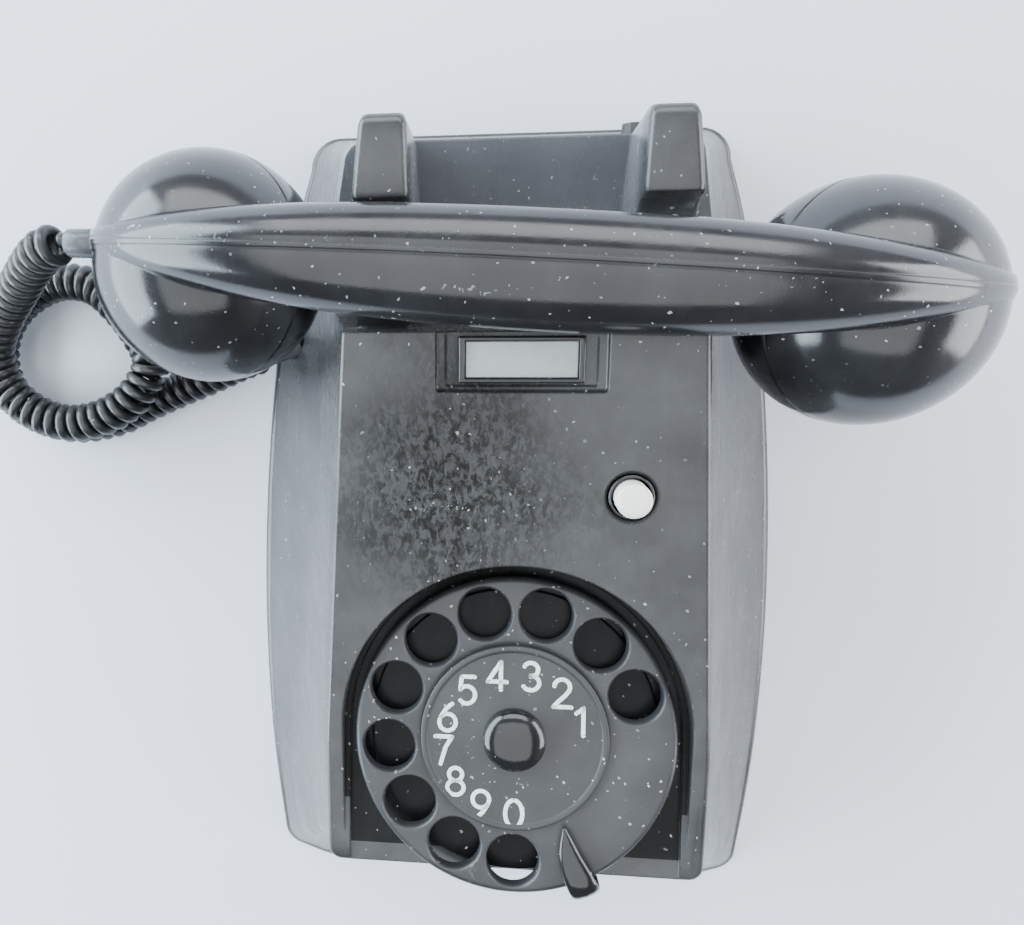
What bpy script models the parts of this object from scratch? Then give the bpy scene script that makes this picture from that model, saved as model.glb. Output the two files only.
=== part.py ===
"""Wall telephone with a rotary dial, lying on its back.

The back lies on z = 0, +Z points out of the front, +Y to the top of the telephone.
The origin is the middle of the back plate. Sizes are in metres; MM turns
millimetres into metres.
"""
import math

import bmesh
import bpy
from mathutils import Matrix, Vector

MM = 0.001
GAP = 0.3 * MM

# ---- driving dimensions -------------------------------------------------
FACE_Z = 62.0 * MM            # height of the flat front above the back
WALL = 3.0 * MM               # moulding thickness
FLARE_POWER = 1.6             # how the flanks spread towards the back
BACK_MIDDLE_Y = -45.0 * MM    # widest place of the back
BACK_SHOULDER = 3.3 * MM
CORNER_CUT_X, CORNER_CUT_WIDTH, CORNER_CUT = 58.0 * MM, 17.0 * MM, 6.5 * MM
BACK_HALF_WIDTH = 76.7 * MM
BACK_CURVE = 0.784            # 1/m, how fast the back's side lines close in
FACE_HALF_WIDTH = 45.3 * MM
FACE_TAPER = 0.062            # how fast the face's side lines close in
FACE_TAPER_Y = -40.0 * MM
BACK_LOW_Y, BACK_TOP_Y = -118.5 * MM, 110.0 * MM
FACE_LOW_Y, FACE_TOP_Y = -72.0 * MM, 99.5 * MM
RIM_HEIGHT = 1.4 * MM
RIM_STEP = 0.5 * MM

FORK_INNER_X, FORK_OUTER_X = 23.8 * MM, 37.0 * MM
FORK_ROOT_Y = 80.0 * MM

DIAL_CENTRE = Vector((0.0, -36.5 * MM, 61.3 * MM))
DIAL_TILT = math.radians(9.0)
WHEEL_T = 2.8 * MM
HOLE_RING_R = 29.9 * MM
HOLE_R = 6.1 * MM
HOLE_COUNT = 10
HOLE_FIRST = math.radians(20.8)
HOLE_STEP = math.radians(360.0 / 13.0)
STOP_ANGLE = math.radians(-64.5)
WELL_R = 41.0 * MM
WELL_DEPTH = 5.5 * MM         # below the finger wheel's front

BUTTON_X, BUTTON_Y = 24.4 * MM, 22.2 * MM
BUTTON_R = 4.1 * MM

CARD_Y = 52.2 * MM
CARD_FRAME = (26.8 * MM, 10.0 * MM)
CARD_OPENING = (24.3 * MM, 8.2 * MM)

HANDSET_CENTRE = Vector((1.2 * MM, 68.2 * MM, 0.0))
HANDSET_TURN = math.radians(-3.74)
HANDLE_HALF = 104.4 * MM
BULB_X, BULB_Z, BULB_R = 75.9 * MM, 40.2 * MM, 27.7 * MM
CAP_TILT = math.radians(28.0)
CAP_PLANE = 0.9 * MM          # seam's distance from the bulb's centre
CAP_FLAT = 19.3 * MM          # flat end's distance from the bulb's centre

CORD_R = 5.5 * MM
CORD_POINTS = 56
CORD_ROUTE_MM = (
    (-110.4, 79.4, 43.2), (-117.4, 78.0, 40.2), (-125.0, 74.0, 34.6), (-133.0, 68.2, 28.4),
    (-140.6, 61.4, 23.6), (-146.4, 52.6, 20.0), (-146.0, 43.0, 18.0), (-139.4, 35.4, 17.5),
    (-128.6, 31.2, 17.3), (-117.4, 32.8, 17.2), (-107.4, 39.0, 17.0), (-102.2, 48.2, 15.8),
    (-106.6, 56.6, 13.0), (-113.6, 64.0, 10.0), (-122.0, 70.0, 7.6), (-134.0, 71.0, 5.9),
    (-146.0, 65.0, 5.7), (-153.0, 55.0, 5.7), (-153.4, 43.0, 5.7), (-146.5, 33.4, 5.7),
    (-133.0, 28.8, 5.7), (-119.0, 30.6, 5.7), (-107.4, 35.8, 5.7), (-96.5, 40.4, 5.7),
    (-87.0, 44.2, 6.2), (-79.0, 47.6, 7.2), (-70.6, 50.6, 8.6),
)


# ---- scene, collections and materials -----------------------------------
for old in list(bpy.data.objects):
    bpy.data.objects.remove(old, do_unlink=True)

PARTS = bpy.data.collections.new("rotary_telephone")
CUTTERS = bpy.data.collections.new("cutters")
bpy.context.scene.collection.children.link(PARTS)
bpy.context.scene.collection.children.link(CUTTERS)


def material(name, colour, roughness, metallic=0.0):
    made = bpy.data.materials.new(name)
    made.use_nodes = True
    shader = made.node_tree.nodes["Principled BSDF"]
    shader.inputs["Base Color"].default_value = (*colour, 1.0)
    shader.inputs["Roughness"].default_value = roughness
    shader.inputs["Metallic"].default_value = metallic
    return made


FINISHES = {
    "bakelite": ((0.035, 0.036, 0.040), 0.32, 0.0),
    "gloss_bakelite": ((0.012, 0.012, 0.014), 0.12, 0.0),
    "dial_plastic": ((0.045, 0.047, 0.050), 0.42, 0.0),
    "button_white": ((0.85, 0.83, 0.74), 0.30, 0.0),
    "card_paper": ((0.55, 0.56, 0.56), 0.70, 0.0),
    "window_clear": ((0.80, 0.82, 0.82), 0.10, 0.0),
    "cord_rubber": ((0.040, 0.042, 0.045), 0.38, 0.0),
    "steel": ((0.55, 0.56, 0.58), 0.35, 1.0),
    "brass": ((0.72, 0.55, 0.25), 0.30, 1.0),
    "copper_wire": ((0.62, 0.30, 0.16), 0.40, 0.6),
    "insulation": ((0.38, 0.22, 0.10), 0.60, 0.0),
}


def add_object(name, mesh, finish, parent=None, collection=PARTS):
    """Link a mesh as an object with a material of its own."""
    made = bpy.data.objects.new(name, mesh)
    collection.objects.link(made)
    if finish:
        made.data.materials.append(material(name, *FINISHES[finish]))
    if parent:
        made.parent = parent
    if collection is CUTTERS:
        made.hide_render = True
        made.display_type = "WIRE"
    return made


def empty(name, location, rotation=(0.0, 0.0, 0.0)):
    made = bpy.data.objects.new(name, None)
    made.location = location
    made.rotation_euler = rotation
    PARTS.objects.link(made)
    return made


# ---- shape helpers --------------------------------------------------------
def mesh_from(name, build):
    """Make a mesh by filling a bmesh with the build function."""
    bm = bmesh.new()
    build(bm)
    bmesh.ops.recalc_face_normals(bm, faces=bm.faces[:])
    if bm.calc_volume(signed=True) < 0.0:
        bmesh.ops.reverse_faces(bm, faces=bm.faces[:])
    mesh = bpy.data.meshes.new(name)
    bm.to_mesh(mesh)
    bm.free()
    return mesh


def round_shading(mesh, angle=35.0):
    mesh.shade_smooth()
    mesh.set_sharp_from_angle(angle=math.radians(angle))


def loft(name, rings):
    """Closed skin over rings with equal numbers of points."""
    def build(bm):
        rows = [[bm.verts.new(point) for point in ring] for ring in rings]
        count = len(rings[0])
        for low, high in zip(rows, rows[1:]):
            for i in range(count):
                j = (i + 1) % count
                bm.faces.new((low[i], low[j], high[j], high[i]))
        bm.faces.new(rows[0][::-1])
        bm.faces.new(rows[-1])
    mesh = mesh_from(name, build)
    round_shading(mesh)
    return mesh


def box_mesh(name, size, centre, chamfer=0.0):
    def build(bm):
        bmesh.ops.create_cube(bm, size=1.0)
        bmesh.ops.scale(bm, vec=size, verts=bm.verts[:])
        bmesh.ops.translate(bm, vec=centre, verts=bm.verts[:])
        if chamfer:
            bmesh.ops.bevel(bm, geom=bm.edges[:], offset=chamfer, segments=1, affect="EDGES")
    return mesh_from(name, build)


def rod_mesh(name, start, end, radius, segments=20, end_radius=None):
    """A cylinder or cone between two points."""
    start, end = Vector(start), Vector(end)
    along = end - start

    def build(bm):
        top = radius if end_radius is None else end_radius
        bmesh.ops.create_cone(bm, cap_ends=True, segments=segments, radius1=radius,
                              radius2=top, depth=along.length)
        turn = Vector((0, 0, 1)).rotation_difference(along).to_matrix().to_4x4()
        bm.transform(Matrix.Translation((start + end) / 2) @ turn)
    mesh = mesh_from(name, build)
    round_shading(mesh)
    return mesh


def turned(name, finish, profile, parent=None, segments=32, place=None, collection=PARTS):
    """A turned piece about local Z. The profile runs top to bottom in (radius, z)."""
    mesh = bpy.data.meshes.new(name)
    points = [(r, 0.0, z) for r, z in profile]
    closed = profile[0][0] > 0.0 and profile[-1][0] > 0.0
    edges = [(i, i + 1) for i in range(len(points) - 1)]
    if closed:
        edges.append((len(points) - 1, 0))
    mesh.from_pydata(points, edges, [])
    made = add_object(name, mesh, finish, parent, collection)
    screw = made.modifiers.new("turn", "SCREW")
    screw.axis = "Z"
    screw.steps = segments
    screw.render_steps = segments
    screw.use_merge_vertices = True
    screw.merge_threshold = 0.00001
    screw.use_smooth_shade = False
    if place:
        made.matrix_local = place
    return made


def boolean(made, cutter, operation="DIFFERENCE", solver="EXACT"):
    step = made.modifiers.new(operation.lower(), "BOOLEAN")
    step.operation = operation
    step.solver = solver
    step.object = cutter
    return step


def cutter(name, mesh, parent=None):
    return add_object(name, mesh, None, parent, CUTTERS)


def lens(radius, depth, steps=4):
    """Top-to-bottom points of a shallow dome of the given radius and height."""
    ball = (radius * radius + depth * depth) / (2 * depth)
    reach = math.asin(min(1.0, radius / ball))
    return [(ball * math.sin(reach * i / steps), ball * math.cos(reach * i / steps) - ball + depth)
            for i in range(steps + 1)]


# ---- housing ----------------------------------------------------------------
def spread(z):
    """1 at the back, 0 at the front face."""
    return max(0.0, 1.0 - max(0.0, z) / FACE_Z) ** FLARE_POWER


def half_width(y, s):
    face = FACE_HALF_WIDTH - FACE_TAPER * max(0.0, y - FACE_TAPER_Y)
    back = BACK_HALF_WIDTH - BACK_CURVE * (y - BACK_MIDDLE_Y) ** 2
    back -= BACK_SHOULDER * max(0.0, (y - 60 * MM) / (50 * MM)) ** 2
    return face + (back - face) * s


def slanted(x, y, s):
    """Pull the lower corners of the outline back along a slant."""
    reach = min(1.0, max(0.0, -(y + 70 * MM) / (40 * MM)))
    across = min(1.0, max(0.0, (abs(x) - CORNER_CUT_X) / CORNER_CUT_WIDTH))
    return (x, y + CORNER_CUT * s * reach * across)


def housing_ring(z, inset, side_steps=7, corner_steps=3):
    """Outline of the housing at height z, moved inwards by inset."""
    s = spread(z)
    low = FACE_LOW_Y + (BACK_LOW_Y - FACE_LOW_Y) * s + inset
    top = FACE_TOP_Y + (BACK_TOP_Y - FACE_TOP_Y) * s - inset
    right = []
    for y_end, sign, growth in ((low, -1, 1.0), (top, 1, 5.0)):
        radius = max(1.0 * MM, (3.5 + growth * s) * MM - inset)
        y_corner = y_end - sign * radius
        x_corner = half_width(y_corner, s) - inset - radius
        arc = []
        for i in range(corner_steps + 1):
            angle = math.pi / 2 * i / corner_steps
            arc.append((x_corner + radius * math.sin(angle), y_corner + sign * radius * math.cos(angle)))
        right.append(arc if sign < 0 else arc[::-1])
    side = []
    y_low, y_top = right[0][-1][1], right[1][0][1]
    for i in range(1, side_steps):
        y = y_low + (y_top - y_low) * i / side_steps
        side.append((half_width(y, s) - inset, y))
    front = [(right[0][0][0] * share, low) for share in (0.2, 0.45, 0.65, 0.84, 0.92)]
    half = [slanted(x, y, s) for x, y in front + right[0] + side + right[1]]
    return [(x, y, z) for x, y in half] + [(-x, y, z) for x, y in half[::-1]]


def channel_profile(grow):
    """(y, z) outline of the cradle channel, as a cutter; grow moves its floor outwards."""
    floor = [(58.2, 61.0), (59.0, 54.0), (60.4, 46.5), (63.0, 40.5), (68.0, 35.4), (75.0, 33.2),
             (83.0, 33.2), (91.0, 35.2), (98.0, 38.2), (106.0, 42.0), (118.0, 48.0)]
    points = [Vector((y * MM, z * MM)) for y, z in floor]
    moved = []
    for i, point in enumerate(points):
        before, after = points[max(0, i - 1)], points[min(len(points) - 1, i + 1)]
        along = (after - before).normalized()
        moved.append(point + Vector((along.y, -along.x)) * grow)
    first, last = moved[0], moved[-1]
    return [Vector((first.x, 80 * MM))] + moved + [Vector((last.x, 80 * MM))]


def prism_x(name, outline, x_low, x_high):
    """An outline in (y, z) carried along X."""
    return loft(name, [[(x, p.x, p.y) for p in outline] for x in (x_low, x_high)])


def fork_mesh(name, side):
    """One cradle fork: a block with a notch for the handle and a horn above it."""
    stations = [(50.0, 61.6), (57.2, 61.6), (58.0, 57.0), (61.0, 53.3), (64.0, 52.6), (78.0, 52.6),
                (82.0, 53.6), (84.6, 57.5), (85.6, 61.0), (87.0, 62.0), (101.0, 62.0),
                (102.5, 61.0), (103.2, 58.8)]
    rings = []
    for y_mm, top_mm in stations:
        y, top = y_mm * MM, top_mm * MM
        along = max(0.0, y - FORK_ROOT_Y)
        tip = max(0.0, y - 101.0 * MM)
        inner = FORK_INNER_X + 0.03 * along + 0.4 * tip
        outer = FORK_OUTER_X - 0.113 * along - 0.4 * tip
        bottom = 28.0 * MM + 10.0 * max(0.0, y - 100.0 * MM)
        bottom = min(bottom, 53.0 * MM)
        c, d = 1.4 * MM, 0.41 * MM
        ring = [(inner - 1.2 * MM, bottom), (outer, bottom), (outer, top - c), (outer - d, top - d),
                (outer - c, top), (inner + c, top), (inner + d, top - d), (inner, top - c)]
        rings.append([(side * x, y, z) for x, z in ring])
    return loft(name, rings)


def well_mesh(name, grow):
    """The arch-shaped dial recess as a cutter in the dial's own axes."""
    radius = WELL_R + grow
    outline = []
    steps = 28
    for i in range(steps + 1):
        angle = math.pi * i / steps
        outline.append((radius * math.cos(angle), radius * math.sin(angle) + 0.8 * MM))
    outline += [(-radius, -60 * MM), (radius, -60 * MM)]
    low = -WELL_DEPTH - grow
    return loft(name, [[(x, y, z) for x, y in outline] for z in (low, 30 * MM)])


dial_frame = empty("dial_axis", DIAL_CENTRE, (-DIAL_TILT, 0.0, 0.0))

outer_levels = [(0.0, 0.0), (RIM_HEIGHT, 0.0), (RIM_HEIGHT + 0.3 * MM, RIM_STEP)]
outer_levels += [(z * MM, RIM_STEP * (1 - z / 62.0)) for z in (6.0, 12.0, 19.0, 27.0, 36.0, 46.0, 56.0)]
outer_levels += [(FACE_Z - 1.4 * MM, 0.0), (FACE_Z - 0.42 * MM, 0.4 * MM), (FACE_Z, 1.4 * MM)]
housing = add_object("housing", loft("housing", [housing_ring(z, i) for z, i in outer_levels]), "bakelite")

PLATE_SEAT = WALL + 1.6 * MM
inner_levels = [5.0, 12.0, 22.0, 34.0, 46.0]
seat_ring = housing_ring(0.0, PLATE_SEAT)
inner_rings = [[(x, y, z) for x, y, _ in seat_ring] for z in (-1.0 * MM, 2.0 * MM)]
inner_rings += [housing_ring(z * MM, WALL + RIM_STEP) for z in inner_levels]
inner_rings.append(housing_ring(FACE_Z - WALL, WALL + 1.0 * MM))
inner_rings[-1] = [(x, y, FACE_Z - WALL) for x, y, z in inner_rings[-1]]
cavity = cutter("cavity", loft("cavity", inner_rings))
boolean(cavity, cutter("cavity_channel", prism_x("cavity_channel", channel_profile(WALL), -0.095, 0.095)))
boolean(cavity, cutter("cavity_well", well_mesh("cavity_well", WALL), dial_frame))
for name, side in (("left", -1), ("right", 1)):
    block = box_mesh("fork_core_" + name, (16.4 * MM, 60 * MM, 60 * MM),
                     (side * 31.0 * MM, 88.0 * MM, 59.0 * MM))
    boolean(cavity, cutter("fork_core_" + name, block))

boolean(housing, cutter("channel", prism_x("channel", channel_profile(0.0), -0.095, 0.095)))
for name, side in (("left", -1), ("right", 1)):
    boolean(housing, cutter("fork_" + name, fork_mesh("fork_" + name, side)), "UNION")
boolean(housing, cutter("well", well_mesh("well", 0.0), dial_frame))
boolean(housing, cavity)
boolean(housing, cutter("card_recess", box_mesh("card_recess", (37.0 * MM, 16.0 * MM, 3.0 * MM),
                                                (0, 53.1 * MM, FACE_Z + 0.3 * MM))))
boolean(housing, cutter("button_hole", rod_mesh("button_hole", (BUTTON_X, BUTTON_Y, 50 * MM),
                                                (BUTTON_X, BUTTON_Y, 70 * MM), 5.3 * MM, 24)))
boolean(housing, cutter("shaft_hole", rod_mesh("shaft_hole", (0, 0, -12 * MM), (0, 0, 0), 9 * MM, 24),
                        dial_frame))
PLUNGER_X, PLUNGER_Y = 31.0 * MM, 70.0 * MM
SIDES = (("left", -1), ("right", 1))
for name, side in SIDES:
    x = side * PLUNGER_X
    boolean(housing, cutter("plunger_hole_" + name,
                            rod_mesh("plunger_hole_" + name, (x, PLUNGER_Y, 20 * MM),
                                     (x, PLUNGER_Y, 60 * MM), 3.4 * MM, 16)))
CORD_INLET = Vector((-65.6 * MM, 52.2 * MM, 9.4 * MM))
CORD_WAY = Vector((-0.93, -0.31, -0.16)).normalized()
boolean(housing, cutter("inlet_hole", rod_mesh("inlet_hole", CORD_INLET - CORD_WAY * 14 * MM,
                                               CORD_INLET + CORD_WAY * 14 * MM, 4.3 * MM, 16)))
LINE_INLET = Vector((30.0 * MM, 106.0 * MM, 9.0 * MM))
boolean(housing, cutter("line_hole", rod_mesh("line_hole", LINE_INLET + Vector((0, -9 * MM, 0)),
                                              LINE_INLET + Vector((0, 9 * MM, 0)), 3.3 * MM, 16)))

# ---- back plate and its screws ----------------------------------------------
plate_ring = housing_ring(0.0, PLATE_SEAT + 0.4 * MM)
back_plate = add_object("back_plate", loft("back_plate", [[(x, y, z) for x, y, _ in plate_ring]
                                                          for z in (0.0, 1.5 * MM)]), "steel")
SCREW_PLACES = [(-54, -94), (54, -94), (-46.5, 90), (46.5, 90)]
for number, (x, y) in enumerate(SCREW_PLACES, 1):
    spot = Vector((x * MM, y * MM, 0.0))
    name = "boss_%d" % number
    boolean(housing, cutter(name, rod_mesh(name, spot + Vector((0, 0, 2.0 * MM)),
                                           spot + Vector((0, 0, 17 * MM)), 4 * MM, 16)), "UNION")
    name = "boss_hole_%d" % number
    boolean(housing, cutter(name, rod_mesh(name, spot - Vector((0, 0, MM)),
                                           spot + Vector((0, 0, 10.5 * MM)), 1.8 * MM, 12)))
    name = "plate_hole_%d" % number
    boolean(back_plate, cutter(name, rod_mesh(name, spot - Vector((0, 0, 0.1 * MM)),
                                              spot + Vector((0, 0, 1.6 * MM)), 3.4 * MM, 16, 1.7 * MM)))
    turned("back_screw_%d" % number, "steel",
           [(0, 9 * MM), (1.4 * MM, 9 * MM), (1.4 * MM, 1.45 * MM), (2.9 * MM, 0.1 * MM), (0, 0.1 * MM)],
           None, 16, Matrix.Translation(spot))

# ---- dial -------------------------------------------------------------------
dial_turn = empty("dial_turn", (0, 0, 0))
dial_turn.parent = dial_frame

wheel = turned("finger_wheel", "dial_plastic",
               [(4.3, 0), (37.3, 0), (38.0, -0.7), (38.0, -2.1), (37.3, -2.8), (4.3, -2.8)],
               dial_turn, 56)
for v in wheel.data.vertices:
    v.co *= MM


def finger_hole_cutter(bm):
    for k in range(HOLE_COUNT):
        angle = HOLE_FIRST + HOLE_STEP * k
        spot = Vector((HOLE_RING_R * math.cos(angle), HOLE_RING_R * math.sin(angle), -WHEEL_T / 2))
        bmesh.ops.create_cone(bm, cap_ends=True, segments=16, radius1=HOLE_R, radius2=HOLE_R,
                              depth=10 * MM, matrix=Matrix.Translation(spot))


boolean(wheel, cutter("finger_holes", mesh_from("finger_holes", finger_hole_cutter), dial_turn))


def turned_mm(name, finish, profile, parent=None, segments=32, place=None):
    """A turned piece from a profile given in millimetres."""
    return turned(name, finish, [(r * MM, z * MM) for r, z in profile], parent, segments, place)


turned_mm("number_disc", "dial_plastic",
          [(0, 1.2), (20.4, 1.2), (20.8, 1.6), (21.6, 1.6), (22.0, 1.2), (22.0, 0.3), (0, 0.3)],
          dial_turn, 32)
hub_dome = [(r, z + 2.6 * MM) for r, z in lens(7.3 * MM, 2.6 * MM)]
turned("hub_cap", "gloss_bakelite", hub_dome + [(7.3 * MM, 1.5 * MM), (0.0, 1.5 * MM)], dial_turn, 20)
turned_mm("dial_shaft", "steel", [(0, 0.0), (4.0, 0.0), (4.0, -20.6), (0, -20.6)], dial_turn, 20)
turned_mm("dial_plate", "dial_plastic",
          [(10.0, -4.4), (34.0, -4.4), (34.5, -4.7), (34.5, -5.2), (10.0, -5.2)], dial_frame, 36)
case = turned_mm("dial_case", "steel", [(0, -8.8), (30.0, -8.8), (30.0, -22.0), (0, -22.0)], dial_frame, 28)
boolean(case, cutter("case_room", rod_mesh("case_room", (0, 0, -21 * MM), (0, 0, -4 * MM), 29 * MM, 28),
                     dial_frame))


def toothed(name, teeth, root_r, tip_r, z_low, z_high, bore, centre=(0.0, 0.0)):
    """A gear-like disc with a bore."""
    outline = []
    for i in range(teeth * 4):
        angle = 2 * math.pi * i / (teeth * 4)
        radius = tip_r if i % 4 in (1, 2) else root_r
        outline.append((radius * math.cos(angle), radius * math.sin(angle)))
    step = 2 * math.pi / len(outline)
    inner = [(bore * math.cos(step * i), bore * math.sin(step * i))
             for i in range(len(outline))]

    def build(bm):
        rows = []
        for ring, z in ((outline, z_low), (outline, z_high), (inner, z_high), (inner, z_low)):
            rows.append([bm.verts.new((x + centre[0], y + centre[1], z)) for x, y in ring])
        for a, b in zip(rows, rows[1:] + rows[:1]):
            for i in range(len(a)):
                j = (i + 1) % len(a)
                bm.faces.new((a[i], a[j], b[j], b[i]))
    return mesh_from(name, build)


GEAR_R, PINION_R = 19.0 * MM, 3.8 * MM
add_object("main_gear", toothed("main_gear", 18, GEAR_R - 0.7 * MM, GEAR_R + 0.5 * MM,
                                -11.0 * MM, -9.5 * MM, 4.3 * MM), "brass", dial_turn)
CAM_X = GEAR_R + PINION_R + 1.2 * MM
cam_turn = empty("cam_turn", (CAM_X, 0, 0))
cam_turn.parent = dial_frame
turned_mm("pulse_cam", "brass", [(0, -9.3), (3.8, -9.3), (3.8, -11.4), (1.2, -11.4), (1.2, -15.0),
                                 (3.4, -15.0), (3.4, -17.0), (1.0, -17.0), (1.0, -20.6), (0, -20.6)],
          cam_turn, 16)
GOVERNOR_ANGLE = math.radians(130.0)
governor_turn = empty("governor_turn",
                      (CAM_X * math.cos(GOVERNOR_ANGLE), CAM_X * math.sin(GOVERNOR_ANGLE), 0))
governor_turn.parent = dial_frame
turned_mm("governor", "brass", [(0, -9.3), (3.0, -9.3), (3.0, -11.4), (1.0, -11.4), (1.0, -14.0),
                                (4.4, -14.0), (4.4, -18.6), (1.0, -18.6), (1.0, -20.6), (0, -20.6)],
          governor_turn, 16)
turned_mm("return_spring_drum", "steel", [(4.4, -11.5), (9.5, -11.5), (9.5, -15.0), (4.4, -15.0)],
          dial_frame, 24)
add_object("pulse_contacts", box_mesh("pulse_contacts", (9 * MM, 5 * MM, 6 * MM),
                                      (17 * MM, -12 * MM, -17.6 * MM), 0.4 * MM), "insulation", dial_frame)

# the finger stop reaches over the wheel from the lower lip
stop_path = [(24.6, 1.75, 1.3), (26.0, 1.9, 1.8), (29.0, 2.0, 2.5), (33.0, 2.0, 3.1), (37.0, 1.9, 3.5),
             (39.2, 1.3, 3.5), (40.1, 0.0, 3.5), (40.3, -2.6, 3.5), (40.3, -5.0, 3.4)]
rings = []
for i, (r, z, half) in enumerate(stop_path):
    before, after = stop_path[max(0, i - 1)], stop_path[min(len(stop_path) - 1, i + 1)]
    along = Vector((after[0] - before[0], after[1] - before[1])).normalized()
    up = Vector((-along.y, along.x)) * 0.7
    corner = 0.3
    ring = []
    for across, lift in ((-half, -1), (half, -1), (half, 0.4), (half - corner, 1),
                         (-half + corner, 1), (-half, 0.4)):
        ring.append(((r + up.x * lift) * MM, across * MM, (z + up.y * lift) * MM))
    rings.append(ring)
stop = add_object("finger_stop", loft("finger_stop", rings), "gloss_bakelite", dial_frame)
stop.rotation_euler = (0, 0, STOP_ANGLE)

# ---- card holder and earth button -------------------------------------------
frame_ring = box_mesh("card_frame", (CARD_FRAME[0], CARD_FRAME[1], 1.5 * MM),
                      (0, CARD_Y, FACE_Z - 0.15 * MM), 0.35 * MM)
card_frame = add_object("card_frame", frame_ring, "bakelite")
boolean(card_frame, cutter("card_opening", box_mesh("card_opening", (CARD_OPENING[0], CARD_OPENING[1], 6 * MM),
                                                    (0, CARD_Y, FACE_Z))))
add_object("number_card", box_mesh("number_card", (CARD_OPENING[0] - 0.6 * MM, CARD_OPENING[1] - 0.6 * MM,
                                                   0.4 * MM), (0, CARD_Y, FACE_Z - 0.7 * MM)), "card_paper")
add_object("card_window", box_mesh("card_window", (CARD_OPENING[0] - 0.6 * MM, CARD_OPENING[1] - 0.6 * MM,
                                                   0.6 * MM), (0, CARD_Y, FACE_Z + 0.1 * MM)), "window_clear")

button_axis = Matrix.Translation((BUTTON_X, BUTTON_Y, 0))
turned_mm("earth_button_collar", "bakelite",
          [(4.4, 62.6), (4.8, 62.6), (5.0, 62.3), (5.0, 58.6), (4.4, 58.6)],
          None, 20, button_axis)
button_dome = [(r, z + 65.2 * MM) for r, z in lens(BUTTON_R, 0.9 * MM)]
turned("earth_button", "button_white", button_dome + [(BUTTON_R, 57.0 * MM), (0.0, 57.0 * MM)], None, 20,
       button_axis)
turned_mm("earth_button_spring", "steel", [(2.3, 56.7), (3.1, 56.7), (3.1, 45.0), (2.3, 45.0)], None, 16,
          button_axis)
add_object("earth_contact", box_mesh("earth_contact", (9 * MM, 13 * MM, 4.4 * MM),
                                     (BUTTON_X, BUTTON_Y, 42.5 * MM), 0.4 * MM), "insulation")

# ---- hook switch --------------------------------------------------------------
LEVER_PIVOT = Vector((0, 52.5 * MM, 21.8 * MM))
for name, side in SIDES:
    node = "cradle_plunger_" + name
    place = Matrix.Translation((side * PLUNGER_X, PLUNGER_Y, 0))
    profile = [(0, 52.2), (2.2, 51.8), (3.0, 50.6), (3.0, 24.0), (0, 24.0)]
    turned_mm(node, "gloss_bakelite", profile, None, 16, place)
lever = add_object("hook_lever", box_mesh("hook_lever", (72 * MM, 6 * MM, 3.4 * MM),
                                          (0, 17.5 * MM, 0.0), 0.3 * MM), "steel")
lever.location = LEVER_PIVOT
for name, side in (("arm_left", -1), ("arm_right", 1)):
    boolean(lever, cutter("lever_" + name, box_mesh("lever_" + name, (5 * MM, 20 * MM, 3.4 * MM),
                                                    (side * 14 * MM, 7 * MM, 0.0)), lever), "UNION")
boolean(lever, cutter("lever_barrel", rod_mesh("lever_barrel", (-16 * MM, 0, 0), (16 * MM, 0, 0), 2.2 * MM, 16),
                      lever), "UNION")
add_object("hook_contacts", box_mesh("hook_contacts", (16 * MM, 7 * MM, 6.5 * MM),
                                     (0, 59.5 * MM, 29.6 * MM), 0.4 * MM), "insulation")

# ---- bell -----------------------------------------------------------------------
for name, side in SIDES:
    place = Matrix.Translation((side * 26 * MM, 30 * MM, 0))
    turned_mm("gong_" + name, "steel",
              [(0, 20.0), (13.0, 19.2), (18.0, 16.8), (20.6, 12.8), (21.0, 8.0), (20.0, 8.0),
               (19.6, 12.4), (17.4, 15.8), (12.8, 18.1), (0, 19.0)], None, 22, place)
    turned_mm("gong_post_" + name, "steel", [(0, 18.6), (2.5, 18.6), (2.5, 1.8), (0, 1.8)], None, 14, place)
    turned_mm("ringer_coil_" + name, "copper_wire",
              [(0, 12.6), (7.0, 12.6), (7.0, -12.6), (0, -12.6)], None, 18,
              Matrix.Translation((side * 10.6 * MM, 30 * MM, 34 * MM)) @ Matrix.Rotation(math.pi / 2, 4, "X"))
yoke = add_object("ringer_yoke", box_mesh("ringer_yoke", (38 * MM, 30 * MM, 1.8 * MM),
                                          (0, 30 * MM, 47.6 * MM)), "steel")
for name, y in (("low", 15.9), ("high", 44.1)):
    boolean(yoke, cutter("yoke_" + name, box_mesh("yoke_" + name, (38 * MM, 1.8 * MM, 21.5 * MM),
                                                  (0, y * MM, 37.75 * MM))), "UNION")
CLAPPER_PIVOT = Vector((0, 30 * MM, 44 * MM))
clapper = add_object("clapper", rod_mesh("clapper", (0, -8 * MM, 0), (0, 8 * MM, 0), 2 * MM, 16), "brass")
clapper.location = CLAPPER_PIVOT
boolean(clapper, cutter("clapper_rod", rod_mesh("clapper_rod", (0, 0, 0), (0, 0, -29 * MM), 0.8 * MM, 12),
                        clapper), "UNION")
ball = [(2.5 * MM * math.sin(math.pi * i / 8), -30 * MM + 2.5 * MM * math.cos(math.pi * i / 8))
        for i in range(9)]
clapper_ball = turned("clapper_ball", None, ball, clapper, 14, None, CUTTERS)
boolean(clapper, clapper_ball, "UNION")

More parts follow.
